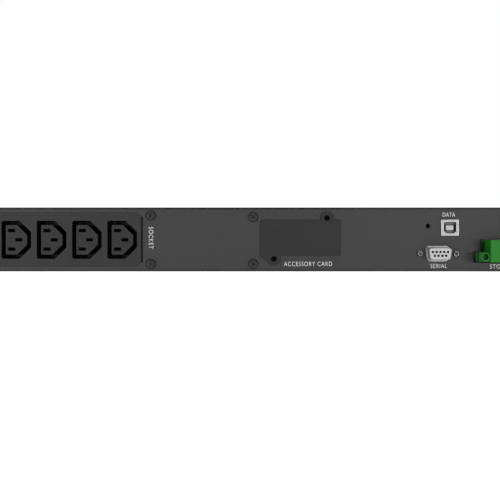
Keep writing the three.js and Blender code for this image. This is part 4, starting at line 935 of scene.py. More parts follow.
for x, lo, hi in ((ears[0], EP[0], EX0 + 0.5), (ears[1], EX1 - 0.5, EP[1])):
    ear = rbox(lo, hi, Y_REAR - 10, Y_REAR - 5.6, 6.9, 13.4, 0.25, 3)
    ear = carve(ear, lathe([(0, -1), (2.15, -1), (2.15, 5.85), (2.3, 6.1), (2.3, 9), (0, 9)], "-y", (x, Y_REAR - 4, EH_), 40))
    # painted shade: the ear in the darker copy of the green nylon
    parts.append((ear, "green_painted_shade"))
    # painted highlight: a lighter green ring round the ear's hole
    parts.append((lathe([(2.25, -0.2), (2.72, -0.2), (2.72, 0.06), (2.6, 0.16), (2.4, 0.16), (2.25, 0.06)], "-y", (x, Y_REAR - 10, EH_), 40), "green_painted_highlight"))
    # painted shade and painted reflection: the screw in the hole takes the darker green, for the shade in the hole and
    # the green nylon the zinc would reflect
    scr = carve(lathe([(0, -1.0), (1.95, -1.0), (2.05, -0.8), (2.05, 0), (1.8, 0.3), (0, 0.4)], "-y", (x, Y_REAR - 7.3, EH_), 28),
                rbox(x - 2, x + 2, Y_REAR - 8.6, Y_REAR - 7.4, EH_ - 0.22, EH_ + 0.22, 0))
    parts.append((scr, "green_painted_shade"))
for k in (-1, 0, 1):
    x = EXC + k * 5.08
    scr = carve(lathe([(0, -3), (1.6, -3), (1.75, -2.8), (1.75, -0.2), (1.6, 0), (0, 0.1)], "z", (x, Y_REAR - 6, EZ1 - 1.0), 24),
                moved(rbox(-2.2, 2.2, -0.25, 0.25, -0.7, 1.0, 0), Matrix.Translation((x, Y_REAR - 6, EZ1 - 1.0)) @ Matrix.Rotation(0.3 + 0.5 * k, 4, "Z")))
    parts.append((scr, "nickel"))
    parts.append((rbox(x - 1.6, x + 1.6, Y_REAR - 9.1, Y_REAR - 3.5, EZ0 + 3.6, EZ0 + 5.9, 0.2, 2), "zinc"))
make("epo_plug_fine", parts, "terminal_plug", ["epo_plug"])

HF = Y_REAR + 4.5
# painted shade: the header's plates and posts take the neutral dark grey for the shadow in the cut-out
parts = [
    (plate(rect(154.1, 185.9, 6.3, 21.9, 0.5), HF, -219, "xz", [rect(162.0, 178.0, 8.4, 19.6, 0.4)], b0=0.2, seg=2), "header"),
    (plate(rect(154.1, 185.9, 6.3, 21.9, 0.5), -219, -214, "xz"), "header"),
]
for x, lo, hi in ((ears[0], EP[0] + 2.0, EX0 - 0.35), (ears[1], EX1 + 0.35, EP[1] - 2.0)):
    blk = carve(rbox(lo, hi, Y_REAR - 5.3, HF + 0.3, 7.0, 13.3, 0.15, 2),
                lathe([(0, -1), (1.3, -1), (1.3, 6), (0, 6)], "-y", (x, Y_REAR, EH_), 20))
    parts.append((blk, "header"))
for k in (-1, 0, 1):
    x = EXC + k * 5.08
    parts.append((rbox(x - 0.5, x + 0.5, -221.0, -218.9, 13.6, 14.6, 0.12, 1), "gold"))
make("epo_header_fine", parts, "chassis", ["epo_header"])

# ------------------------------------------------------------------ inlet and breaker
rec = outlet_outline(INX, INZ, -8.3, 8.3, 24.2, 4.6, 1.0, 0.6)
fl = plate(rect(INX - 11.2, INX + 11.2, INZ - 15.2, INZ + 15.2, 2.2, 8), Y_REAR - 2.2, Y_REAR - 0.1, "xz", [rec], b0=0.8, seg=4)
sock = plate(rounded([(INX - 9.9, INZ - 13.5), (INX + 9.9, INZ - 13.5), (INX + 9.9, INZ + 13.5), (INX - 9.9, INZ + 13.5)], 2.4, 5),
             Y_REAR - 0.2, Y_REAR + 13.5, "xz", [rec])
back_ = plate(rect(INX - 9.9, INX + 9.9, INZ - 13.5, INZ + 13.5, 2.0), Y_REAR + 13.4, -208, "xz")
parts = [(fl, "black"), (sock, "black"), (back_, "black")]
for dx, dz in ((-2.0, 7), (2.0, 0), (-2.0, -7)):
    x, z = INX + dx, INZ + dz
    parts.append((rbox(x - 2, x + 2, Y_REAR - 1.2, Y_REAR + 14, z - 1, z + 1, 0.45, 3), "nickel"))
# moulded ribs at the flange's ends
for s in (-1, 1):
    parts.append((rbox(INX - 5, INX + 5, Y_REAR - 2.35, Y_REAR - 1.5, INZ + s * 13.6 - 0.35, INZ + s * 13.6 + 0.35, 0.15, 2), "black"))
make("ac_inlet_fine", parts, "chassis", ["ac_inlet"])

BB = nb("breaker_body")
nut = carve(plate(rounded(circle(BX, BZ, 6.4, 6), 0.5, 3), Y_REAR - 2.6, Y_REAR - 0.1, "xz", b0=0.4, b1=0.2, seg=3),
            lathe([(0, -1), (4.95, -1), (4.95, 4), (0, 4)], "-y", (BX, Y_REAR, BZ), 40))
bush = []
for k in range(5):
    y = 3.1 - k * 0.62
    bush += [(4.62, y + 0.0), (4.9, y - 0.31)]
bush = lathe([(3.45, -8), (4.4, -8)] + list(reversed(bush)) + [(4.62, 3.4), (4.2, 3.55), (3.7, 3.5), (3.45, 3.2)], "-y", (BX, Y_REAR, BZ), 48)
case = rbox(BX - 7.6, BX + 7.0, Y_REAR + 1.6, Y_REAR + 30, BZ - 7.2, BZ + 7.2, 0.5, 2)
make("breaker_body_fine", [(nut, "black"), (bush, "black"), (case, "black")], "chassis", ["breaker_body"])
cap = lathe([(0, -7.6), (3.0, -7.6), (3.1, -7.4), (3.1, 4.1), (2.98, 4.45), (2.65, 4.68), (2.1, 4.75), (1.9, 4.62), (0, 4.6)], "-y", (BX, Y_REAR, BZ), 48)
make("breaker_button_fine", [(cap, "red")], "reset_button", ["breaker_button"])

# ------------------------------------------------------------------ fan
y0, y1 = FANB[2], FANB[3]
sq = rect(FX - 20, FX + 20, FZ - 20, FZ + 20, 3.2, 6)
lugs = [circle(FX + a, FZ + b_, 1.7, 20) for a in (-16, 16) for b_ in (-16, 16)]
bore_ = circle(FX, FZ, 18.9, 72)
parts = [
    (plate(sq, y0, y0 + 3.2, "xz", [bore_] + lugs, b0=0.4, b1=0.2, seg=2), "black"),
    (plate(sq, y1 - 3.2, y1, "xz", [bore_] + lugs, b0=0.2, b1=0.4, seg=2), "black"),
    (plate(circle(FX, FZ, 19.9, 72), y0 + 3, y1 - 3, "xz", [bore_]), "black"),
    (lathe([(0, 0), (10.8, 0), (10.8, 2.0), (10.4, 2.4), (0, 2.4)], "y", (FX, y1 - 2.4, FZ), 48), "black"),
]
for k in range(4):
    parts.append((moved(rbox(10, 19.4, -1.1, 1.1, -1.3, 1.3, 0.3, 2),
                        Matrix.Translation((FX, y1 - 1.2, FZ)) @ Matrix.Rotation(math.pi / 2 * k, 4, "Y")), "black"))
make("fan_frame_fine", parts, "chassis", ["fan_frame"])
RB = nb("fan_rotor")
ry0, ry1 = RB[2], RB[3]
yc = (ry0 + ry1) / 2
parts = [(lathe([(0, 0), (9.8, 0), (10.4, 0.25), (10.6, 0.8), (10.6, ry1 - ry0), (0, ry1 - ry0)], "y", (FX, ry0, FZ), 48), "black")]


def blade(phi0):
    ns, nt = 6, 10
    top, bot = [], []
    for i in range(ns + 1):
        s = i / ns
        r = 10.3 + s * 7.2
        pitch = math.radians(50 - 18 * s)
        chord = 11.5 + 2.5 * s
        for j in range(nt + 1):
            t = j / nt * 2 - 1
            ax = chord / 2 * math.sin(pitch) * t
            tan_ = chord / 2 * math.cos(pitch) * t + 1.1 * (1 - t * t)
            th = 0.55 * (1 - 0.75 * t * t)
            for side_, arr in ((1, top), (-1, bot)):
                phi = phi0 + (tan_ + side_ * th * math.sin(pitch)) / r + 0.35 * s
                yy = yc + ax - side_ * th * math.cos(pitch)
                arr.append((FX + r * math.cos(phi), yy, FZ + r * math.sin(phi)))
    v = top + bot
    m_ = len(top)
    row = nt + 1
    f = []
    for i in range(ns):
        for j in range(nt):
            a = i * row + j
            f.append([a, a + 1, a + row + 1, a + row])
            f.append([m_ + a, m_ + a + row, m_ + a + row + 1, m_ + a + 1])
    for j in range(nt):
        f.append([j, m_ + j, m_ + j + 1, j + 1])
        a = ns * row + j
        f.append([a, a + 1, m_ + a + 1, m_ + a])
    for i in range(ns):
        a = i * row
        f.append([a, a + row, m_ + a + row, m_ + a])
        a = i * row + nt
        f.append([a, m_ + a, m_ + a + row, a + row])
    return v, f


for k in range(7):
    parts.append((blade(2 * math.pi * k / 7), "black"))
make("fan_rotor_fine", parts, "fan", ["fan_rotor"], angle=40)

# ------------------------------------------------------------------ inside
dress("main_board", "pcb", 0.1)
dress("heat_sink_1", "aluminium", 0.15)
dress("heat_sink_2", "aluminium", 0.15)
dress("transformer_core", "ferrite", 0.5)

def tube(path, r, n=10):
    """A round tube along a smooth line through the given points, with closed ends."""
    pts = [Vector(q) for q in path]
    ext = [pts[0] * 2 - pts[1]] + pts + [pts[-1] * 2 - pts[-2]]
    line = []
    for i in range(1, len(ext) - 2):
        a, b, c, d = ext[i - 1:i + 3]
        for k in range(8):
            t = k / 8
            line.append(0.5 * ((2 * b) + (c - a) * t + (2 * a - 5 * b + 4 * c - d) * t * t + (3 * b - a - 3 * c + d) * t ** 3))
    line.append(pts[-1])
    verts, faces = [], []
    up = Vector((0, 0, 1))
    t0 = (line[1] - line[0]).normalized()
    side_ = t0.cross(up) if abs(t0.dot(up)) < 0.95 else t0.cross(Vector((1, 0, 0)))
    side_.normalize()
    for i, q in enumerate(line):
        t = (line[min(i + 1, len(line) - 1)] - line[max(i - 1, 0)]).normalized()
        side_ = (side_ - t * side_.dot(t)).normalized()
        nrm = t.cross(side_)
        for k in range(n):
            a = 2 * math.pi * k / n
            verts.append(tuple(q + side_ * (r * math.cos(a)) + nrm * (r * math.sin(a))))
    for i in range(len(line) - 1):
        for k in range(n):
            a, b = i * n + k, i * n + (k + 1) % n
            faces.append([a, b, b + n, a + n])
    faces.append(list(range(n)))
    faces.append([(len(line) - 1) * n + k for k in range(n)])
    return verts, faces


def ring_wire(loop, y, r, n=8):
    """A closed turn of wire: a loop in x and z at one y."""
    verts, faces = [], []
    m_ = len(loop)
    for i in range(m_):
        a, c = loop[i - 1], loop[(i + 1) % m_]
        t = Vector((c[0] - a[0], 0, c[1] - a[1])).normalized()
        out_ = Vector((t.z, 0, -t.x))
        for k in range(n):
            q = 2 * math.pi * k / n
            v = Vector((loop[i][0], y, loop[i][1])) + out_ * (r * math.cos(q)) + Vector((0, 1, 0)) * (r * math.sin(q))
            verts.append(tuple(v))
    for i in range(m_):
        for k in range(n):
            a, b = i * n + k, i * n + (k + 1) % n
            j = (i + 1) % m_
            faces.append([a, b, j * n + (k + 1) % n, j * n + k])
    return verts, faces


TW = nb("transformer_winding")
tx_, ty_, tz_ = (TW[0] + TW[1]) / 2, (TW[2] + TW[3]) / 2, (TW[4] + TW[5]) / 2
hx, hz = (TW[1] - TW[0]) / 2, (TW[5] - TW[4]) / 2
hole_ = rect(tx_ - 9.4, tx_ + 9.4, tz_ - hz + 3.4, tz_ + hz - 3.4, 0.8, 4)
parts = [
    (plate(rect(tx_ - hx + 2.6, tx_ + hx - 2.6, tz_ - hz + 2.0, tz_ + hz - 2.0, 3.5, 6), TW[2] + 0.8, TW[3] - 0.8, "xz", [hole_]), "bobbin"),
    (plate(rect(tx_ - hx + 0.05, tx_ + hx - 0.05, tz_ - hz + 0.1, tz_ + hz - 0.1, 2.0, 6), TW[2] + 0.1, TW[2] + 1.3, "xz", [hole_], b0=0.3, b1=0.2), "bobbin"),
    (plate(rect(tx_ - hx + 0.05, tx_ + hx - 0.05, tz_ - hz + 0.1, tz_ + hz - 0.1, 2.0, 6), TW[3] - 1.3, TW[3] - 0.1, "xz", [hole_], b0=0.2, b1=0.3), "bobbin"),
]
loop_ = rect(tx_ - hx + 1.9, tx_ + hx - 1.9, tz_ - hz + 1.3, tz_ + hz - 1.3, 4.0, 7)
for k in range(19):
    parts.append((ring_wire(loop_, ty_ + (k - 9) * 1.55, 0.8), "winding"))
for k in (-1, 1):
    parts.append((plate(rect(tx_ - hx + 0.75, tx_ + hx - 0.75, tz_ - hz + 0.35, tz_ + hz - 0.35, 4.4, 7), ty_ + k * 9 - 2.6, ty_ + k * 9 + 2.6, "xz",
                        [rect(tx_ - hx + 1.2, tx_ + hx - 1.2, tz_ - hz + 0.7, tz_ + hz - 0.7, 4.2, 7)]), "tape"))
make("transformer_winding_fine", parts, "chassis", ["transformer_winding"], angle=50)

# the small parts soldered to the main board
zt = nb("main_board")[5]
parts = []
for k in range(3):
    y = -104 + k * 24
    parts.append((rbox(70, 98, y, y + 14, zt + 0.4, zt + 20, 0.8, 3), "relay"))
    for dx in (4, 14, 24):
        parts.append((rbox(70 + dx - 0.4, 70 + dx + 0.4, y + 2, y + 3, zt - 0.02, zt + 0.6, 0), "tin"))
for k in range(4):
    x = -12 + (k % 2) * 13
    y = -112 - (k // 2) * 13
    parts.append((lathe([(0, 0), (4.4, 0), (5.0, 0.5), (5.0, 1.6), (4.7, 2.0), (5.0, 2.4), (5.0, 15.6), (4.6, 16.2), (0, 16.2)], "z", (x, y, zt), 28), "sleeve"))
    parts.append((lathe([(0, 16.15), (4.1, 16.15), (4.1, 16.3), (0, 16.3)], "z", (x, y, zt), 24), "aluminium"))
for k in range(3):
    y = -150 - k * 12
    parts.append((rbox(-12, 4, y, y + 7.5, zt + 0.1, zt + 14, 0.8, 3), "film"))
for k in range(2):
    x = 20 + k * 26
    parts.append((rbox(x, x + 18, -34, -20, zt + 0.1, zt + 11, 0.5, 2), "green"))
    for q in range(3):
        parts.append((lathe([(0, 0), (1.9, 0), (1.9, 0.4), (1.6, 0.6), (0, 0.6)], "z", (x + 3.5 + q * 5.5, -27, zt + 10.8), 20), "tin"))
brnd = random.Random(11)
for cx0, cy0, cols, rows in ((-88, -196, 2, 12), (-14, -102, 1, 8), (66, -196, 7, 14), (-38, -56, 5, 5), (50, -92, 2, 8), (6, -112, 0, 0)):
    for i in range(cols):
        for j in range(rows):
            x, y = cx0 + i * 5.2 + brnd.uniform(-0.4, 0.4), cy0 + j * 5.4 + brnd.uniform(-0.4, 0.4)
            w_, d_ = (1.1, 0.65) if brnd.random() < 0.6 else (0.65, 1.1)
            parts.append((rbox(x - w_, x + w_, y - d_, y + d_, zt - 0.02, zt + 0.62, 0.08, 1), "chip" if brnd.random() < 0.5 else "bobbin"))
            parts.append((rbox(x - w_ - 0.25, x + w_ + 0.25, y - d_ * 0.8, y + d_ * 0.8, zt - 0.02, zt + 0.4, 0.08, 1), "tin"))
for x, y, w_, d_ in ((72, -122, 10, 10), (90, -122, 7, 5), (-84, -118, 4, 7), (60, -40, 6, 6)):
    parts.append((rbox(x - w_, x + w_, y - d_, y + d_, zt + 0.25, zt + 1.9, 0.2, 2), "chip"))
    for k in range(int(w_ * 2 / 1.6)):
        xx = x - w_ + 0.8 + k * 1.6
        parts.append((rbox(xx - 0.3, xx + 0.3, y - d_ - 1.1, y + d_ + 1.1, zt - 0.02, zt + 0.5, 0.05, 1), "tin"))
for k, (x, y) in enumerate(((-165, -201), (99, -201), (-165, -17), (99, -17))):
    parts.append((lathe([(0, 0), (3.4, 0), (3.62, 0.2), (3.62, 4.64), (3.4, 4.84), (0, 4.84)], "z", (x, y, T + 0.34), 6), "standoff"))
    scr = lathe([(0, -0.6), (1.5, -0.6), (1.5, 0.02), (3.3, 0.02), (3.3, 0.2), (2.9, 1.2), (2.2, 1.75), (1.2, 1.95), (0, 1.98)], "z", (0, 0, 0), 32)
    scr = carve(scr, rbox(-1.6, 1.6, -0.32, 0.32, 0.9, 3, 0), rbox(-0.32, 0.32, -1.6, 1.6, 0.9, 3, 0))
    parts.append((shifted(moved(scr, Matrix.Rotation(0.5 * k, 4, "Z")), x, y, zt), "zinc"))
make("main_board_parts", parts, "chassis")
for i in (1, 2):
    b = nb(f"bulk_capacitor_{i}")
    x, z = (b[0] + b[1]) / 2, (b[4] + b[5]) / 2
    r = 12.5
    can = lathe([(0, 0), (10.8, 0), (11.8, 0.25), (12.3, 0.9), (12.5, 1.8), (12.5, 3.2), (11.9, 3.8), (11.9, 4.6), (12.5, 5.2), (12.5, 43.4), (12.1, 44.6), (11.2, 45.0), (0, 45.0)], "y", (x, b[2], z), 48)
    top_ = lathe([(0, -0.02), (10.0, -0.02), (10.0, 0.1), (0, 0.1)], "y", (x, b[2], z), 40)
    stripe = []
    make(f"bulk_capacitor_{i}_fine", [(can, "sleeve"), (top_, "aluminium")], "chassis", [f"bulk_capacitor_{i}"])
# toroidal choke: a dark core wound with separate turns
b = nb("output_inductor")
cx, cy, cz = (b[0] + b[1]) / 2, (b[2] + b[3]) / 2, (b[4] + b[5]) / 2
prof = [(15 + 5.6 * math.cos(2 * math.pi * k / 24), 7.6 * math.sin(2 * math.pi * k / 24)) for k in range(24)]
parts = [(lathe(prof, "z", (cx, cy, cz), 64), "ferrite")]
turns = 42
wv, wf = [], []
for t in range(turns):
    phi = 2 * math.pi * t / turns
    o = len(wv)
    nu, nvv = 20, 6
    for i in range(nu):
        a = 2 * math.pi * i / nu
        rr_, zz = 15 + 6.3 * math.cos(a), 8.3 * math.sin(a)
        p2 = phi + 0.4 * (2 * math.pi / turns) * math.sin(a)
        c0 = Vector((rr_ * math.cos(p2), rr_ * math.sin(p2), zz))
        out_ = Vector((math.cos(a) * math.cos(p2), math.cos(a) * math.sin(p2), math.sin(a)))
        side_ = Vector((-math.sin(p2), math.cos(p2), 0))
        for k in range(nvv):
            q = 2 * math.pi * k / nvv
            p3 = c0 + out_ * (0.62 * math.cos(q)) + side_ * (0.62 * math.sin(q))
            wv.append((cx + p3.x, cy + p3.y, cz + p3.z))
    for i in range(nu):
        for k in range(nvv):
            a0_ = o + i * nvv + k
            a1_ = o + i * nvv + (k + 1) % nvv
            b0_ = o + ((i + 1) % nu) * nvv + k
            b1_ = o + ((i + 1) % nu) * nvv + (k + 1) % nvv
            wf.append([a0_, a1_, b1_, b0_])
parts.append(((wv, wf), "winding"))
make("output_inductor_fine", parts, "chassis", ["output_inductor"], angle=60)
dress("battery_lead", "lead", 0)
dress("battery_socket", "red", 0.4)
dress("battery_plug", "grey", 0.4)
dress("battery_tray", "zinc", 0.15)

# batteries: case with a seam, label, vent strip and recessed terminals
TERM = {}
for n in range(1, 5):
    x0, x1, yb0, yb1, z0, z1 = nb(f"battery_{n}")
    cut = [rbox(x0 + 6, x0 + 24, yb1 - 9, yb1 + 3, z0 + 24, z1 + 3, 0),
           rbox(x1 - 24, x1 - 6, yb1 - 9, yb1 + 3, z0 + 24, z1 + 3, 0),
           rbox(x0 + 12, x1 - 12, yb0 + 11, yb1 - 25, z1 - 0.5, z1 + 2, 0)]
    case = carve(rbox(x0, x1, yb0, yb1 - 16.4, z0, z1 - 0.05, 1.4, 4), cut[2])
    lid = carve(rbox(x0, x1, yb1 - 16.0, yb1, z0, z1, 1.2, 4), both(cut[0], cut[1]))
    seam = rbox(x0 + 0.7, x1 - 0.7, yb1 - 17.5, yb1 - 15, z0 + 0.7, z1 - 0.7, 0.6, 2)
    parts = [(case, "battery"), (lid, "battery"), (seam, "battery")]
    # the label in its shallow recess
    parts.append((rbox(x0 + 13, x1 - 13, yb0 + 12, yb1 - 26, z1 - 0.7, z1 - 0.3, 0.1, 1), "cell_label"))
    parts.append((rbox(x0 + 13.05, x1 - 13.05, yb1 - 38, yb1 - 29, z1 - 0.5, z1 - 0.24, 0.05, 1), "cell_band"))
    for k, (f0, f1) in enumerate(((0.0, 0.42), (0.0, 0.6), (0.0, 0.34))):
        yy = yb0 + 36 - k * 8
        parts.append((rbox(x0 + 18, x0 + 18 + (x1 - x0 - 36) * f1, yy, yy + 0.7, z1 - 0.5, z1 - 0.25, 0.03, 1), "print_grey"))
    # ribs across the case's bare end, and the vent strip on the lid
    for k in range(3):
        parts.append((rbox(x0 + 12, x1 - 12, yb0 + 3.0 + k * 2.4, yb0 + 4.0 + k * 2.4, z1 - 0.4, z1, 0.3, 2), "battery"))
    parts.append((rbox(x0 + 32, x1 - 32, yb1 - 11.5, yb1 - 5.5, z1 - 0.6, z1 + 0.25, 0.3, 3), "battery"))
    # terminals: a coloured surround and a tinned blade, with a moulded sign beside each
    left_plus = n < 3
    for xx, m_, plus in ((x0 + 15, "red" if left_plus else "black", left_plus), (x1 - 15, "black" if left_plus else "red", not left_plus)):
        parts.append((rbox(xx - 5, xx + 5, yb1 - 8.2, yb1 - 1.2, z0 + 23.8, z0 + 25.2, 0.3, 2), m_))
        parts.append((rbox(xx - 3, xx + 3, yb1 - 5, yb1 - 4.2, z0 + 24, z0 + 31, 0.25, 2), "tin"))
        sx_ = xx + (11.5 if xx < (x0 + x1) / 2 else -11.5)
        parts.append((rbox(sx_ - 1.8, sx_ + 1.8, yb1 - 8.6, yb1 - 7.8, z1 - 0.4, z1 + 0.2, 0.1, 1), "print_grey"))
        if plus:
            parts.append((rbox(sx_ - 0.4, sx_ + 0.4, yb1 - 10, yb1 - 6.4, z1 - 0.4, z1 + 0.2, 0.1, 1), "print_grey"))
        TERM[(n, "+" if plus else "-")] = (xx, yb1 - 4.6, z0 + 29)
    make(f"battery_{n}_fine", parts, "drawer", [f"battery_{n}"])


def lug(at):
    """A sleeved push-on terminal over a blade."""
    x, y, z = at
    return rbox(x - 3.9, x + 3.9, y - 1.9, y + 1.9, z - 2.6, z + 5.5, 0.9, 3)


# series links between the batteries, and the two leads clipped along the edge back to the plug
top_z = 38.85


def turn_corners(points, r):
    """A flat path through the points with rounded corners, for a lead clipped down along straight runs."""
    out = [Vector(points[0])]
    for a_, b_, c_ in zip(points, points[1:], points[2:]):
        a_, b_, c_ = Vector(a_), Vector(b_), Vector(c_)
        r1 = min(r, (a_ - b_).length * 0.45)
        r2 = min(r, (c_ - b_).length * 0.45)
        p_, q_ = b_ + (a_ - b_).normalized() * r1, b_ + (c_ - b_).normalized() * r2
        for k in range(6):
            t = k / 5
            out.append(p_ * (1 - t) ** 2 + b_ * (2 * t * (1 - t)) + q_ * t * t)
    out.append(Vector(points[-1]))
    full = []
    for a_, b_ in zip(out, out[1:]):
        steps = max(1, int((b_ - a_).length / 6))
        full += [a_ + (b_ - a_) * (k / steps) for k in range(steps)]
    return [tuple(v) for v in full + [out[-1]]]


def rise(t_, dx, dy):
    """The lead's way out of a terminal and over onto the battery's top."""
    x, y, z = t_
    return [(x, y, z + 4), (x, y, top_z), (x + dx, y + dy, top_z)]


parts = []
for m_, a_, b_ in (("lead_black", TERM[(1, "-")], TERM[(2, "+")]), ("lead", TERM[(4, "-")], TERM[(3, "+")])):
    parts.append((tube(turn_corners([(a_[0], a_[1], a_[2] + 4), (a_[0], a_[1], top_z), (b_[0], b_[1], top_z), (b_[0], b_[1], b_[2] + 4)], 3.5), 1.25), m_))
for key_ in TERM:
    parts.append((lug(TERM[key_]), "lead" if key_[1] == "+" else "lead_black"))
plus_, minus_ = TERM[(1, "+")], TERM[(3, "-")]
parts.append((tube(turn_corners(rise(plus_, 0, -9) + [(-194, plus_[1] - 22, top_z), (-194, 24, top_z), (-186, 19.6, top_z), (-57, 19.6, top_z), (-57, 15.6, 36.5), (-57, 14.9, 30), (-57, 12.9, 26)], 5), 1.25), "lead"))
parts.append((tube(turn_corners(rise(minus_, 0, -9) + [(-198, minus_[1] - 22, top_z), (-198, 22, top_z), (-188, 16.0, top_z), (-47, 16.0, top_z), (-47, 15.4, 36.0), (-47, 14.9, 30), (-47, 12.9, 26)], 5), 1.25), "lead_black"))
a_, b_ = TERM[(2, "-")], TERM[(4, "+")]
parts.append((tube(turn_corners(rise(a_, 0, 9) + [(93, a_[1] + 22, top_z), (93, b_[1] - 22, top_z)] + list(reversed(rise(b_, 0, -9))), 5), 1.25), "lead_black"))
# adhesive saddles that hold the leads down
for x, y, along in ((-196, 60, "y"), (-196, 140, "y"), (-150, 17.8, "x"), (-95, 17.8, "x"), (93, 140, "y"), (93, 172, "y")):
    w_ = 6.2 if x < 0 else 4.2
    if along == "y":
        parts.append((rbox(x - w_, x + w_, y - 4, y + 4, 37.52, 38.0, 0.15, 1), "bobbin"))
        parts.append((plate(rect(x - w_ + 1.2, x + w_ - 1.2, 37.9, 40.3, 1.1, 5), y - 2, y + 2, "xz", b0=0.25, b1=0.25), "bobbin"))
    else:
        parts.append((rbox(x - 4, x + 4, y - min(w_, 4.4) + 0.6, y + w_, 37.52, 38.0, 0.15, 1), "bobbin"))
        parts.append((plate(rect(y - 3.6, y + 3.6, 37.9, 40.3, 1.1, 5), x - 2, x + 2, "yz", b0=0.25, b1=0.25), "bobbin"))
make("battery_links", parts, "drawer", angle=50)

# ------------------------------------------------------------------ drawer front
DF = nb("drawer_front")
STEP, BZY = 236.0, DF[3]
BACK = DF[2]


def bezel_block(points, radii, z0, z1, edge):
    return plate(rounded(points, radii, 6), z0, z1, "xy", b0=edge, b1=edge, seg=4)


front = bezel_block([(DF[0], BACK), (DF[1], BACK), (DF[1], STEP), (97, STEP), (93, BZY), (-200, BZY), (-204, STEP), (DF[0], STEP)],
                    [0.3, 0.3, 1.0, 1.4, 2.2, 2.2, 1.4, 1.0], DF[4], DF[5], 0.9)
front = carve(front, rbox(-198, 91, BACK - 2, BZY - 2.6, 3, H - 3, 0))
cutters = []
for z in (8, 15, 22, 29, 36):
    for a, b_ in ((-190, -142), (-136, -88), (-20, 28), (34, 83)):
        cutters.append(plate(rect(a, b_, z - 1.7, z + 1.7, 1.6, 6), 240, 252, "xz"))
cutters.append(plate(rect(-78, -30, 6, 24, 3.0, 6), 240, 252, "xz"))
for node in ("drawer_thumbscrew_left", "drawer_thumbscrew_right"):
    b = nb(node)
    cutters.append(plate(circle((b[0] + b[1]) / 2, 22, 2.4, 32), 228, 242, "xz"))
front = carve(front, both(*cutters))
front = soften(front, 0.35, 2, 40)
parts = [(front, "bezel")]
# dust filter behind the slots
for a, b_ in ((-193, -85), (-23, 86)):
    parts.append((rbox(a, b_, 242.0, 244.0, 4.5, 39.5, 0.4, 2), "mesh_black"))
# lip round the grip opening
lip = plate(rect(-80, -28, 4, 26, 4.4, 8), BZY - 0.5, BZY + 0.0, "xz", [rect(-78, -30, 6, 24, 3.0, 8)], b1=0.3, seg=3)
parts.append((lip, "bezel"))
parts.append((plate(rect(-79.6, -28.4, 4.4, 25.6, 4.0, 8), 231.2, 232.2, "xz"), "bezel"))
parts.append((plate(rect(-79.6, -28.4, 4.4, 25.6, 4.0, 8), 232.2, BZY - 2.5, "xz", [rect(-78.0, -30.0, 6.0, 24.0, 3.0, 8)]), "bezel"))
make("drawer_front_fine", parts, "drawer", ["drawer_front"])
TRB, DFB = nb("battery_tray"), nb("drawer_front")
gasket = plate(rect(TRB[0] + 1, TRB[1] - 1, TRB[4] + 1, TRB[5] - 0.8, 1.5), TRB[3] + 0.02, DFB[2] - 0.02, "xz", [rect(TRB[0] + 5, TRB[1] - 5, TRB[4] + 5, TRB[5] - 4.8, 1.0)], b0=0.2, b1=0.2, seg=2)
make("drawer_gasket", [(gasket, "foam")], "drawer")

for node, bodyname in (("drawer_thumbscrew_left", "left_thumbscrew"), ("drawer_thumbscrew_right", "right_thumbscrew")):
    b = nb(node)
    x, z = (b[0] + b[1]) / 2, 22.0
    y = b[3]
    teeth = []
    nt_ = 36
    for k in range(nt_):
        for f_, rr2 in ((0.0, 5.38), (0.3, 5.38), (0.5, 5.1), (0.8, 5.1)):
            a = 2 * math.pi * (k + f_) / nt_
            teeth.append((x + rr2 * math.cos(a), z + rr2 * math.sin(a)))
    knurl = plate(teeth, y - 6.2, y - 1.0, "xz", b0=0.25, b1=0.25, seg=2)
    cap_ = lathe([(0, -1.6), (4.9, -1.6), (4.9, -0.55), (4.6, -0.15), (4.1, 0), (0, 0)], "y", (x, y, z), 48)
    cap_ = carve(cap_, rbox(x - 6, x + 6, y - 1.3, y + 2, z - 0.6, z + 0.6, 0))
    neck = lathe([(0, b[2] - y), (1.3, b[2] - y), (1.75, b[2] - y + 0.6), (1.75, -7.2), (4.4, -7.2), (4.6, -7.0), (4.6, -6.0), (0, -6.0)], "y", (x, y, z), 40)
    make(node + "_fine", [(knurl, "steel"), (cap_, "steel"), (neck, "steel")], bodyname, [node])

# ------------------------------------------------------------------ control column
CB = nb("control_bezel")
LCD = nb("lcd_lens")
keys = {"power_button": "power_key", "menu_button": "menu_key", "mute_button": "mute_key"}
KEY = {}
for node in keys:
    b = nb(node)
    KEY[node] = ((b[0] + b[1]) / 2, (b[4] + b[5]) / 2, (b[1] - b[0]) / 2 - 0.9, b[2], b[3])
bez = bezel_block([(CB[0], BACK), (CB[1], BACK), (CB[1], STEP), (204, STEP), (200, BZY), (CB[0] + 3, BZY), (CB[0], STEP)],
                  [0.3, 0.3, 1.0, 1.4, 2.2, 1.4, 1.0], CB[4], CB[5], 0.9)
bez = carve(bez, rbox(CB[0] + 4, 198, BACK - 2, BZY - 2.6, 3, H - 3, 0))
cutters = [plate(rect(LCD[0] - 0.4, LCD[1] + 0.4, LCD[4] - 0.4, LCD[5] + 0.4, 1.4, 6), 240, 252, "xz")]
for x, z, r, _, _ in KEY.values():
    cutters.append(plate(circle(x, z, r + 0.3, 48), 240, 252, "xz"))
bez = carve(bez, both(*cutters))
bez = soften(bez, 0.35, 2, 40)
parts = [(bez, "bezel")]
make("control_bezel_fine", parts, "chassis", ["control_bezel"])
lens = plate(rect(LCD[0], LCD[1], LCD[4], LCD[5], 1.1, 6), LCD[2], LCD[3], "xz", b0=0.2, b1=0.35, seg=3)
make("lcd_lens_fine", [(lens, "window")], "chassis", ["lcd_lens"])

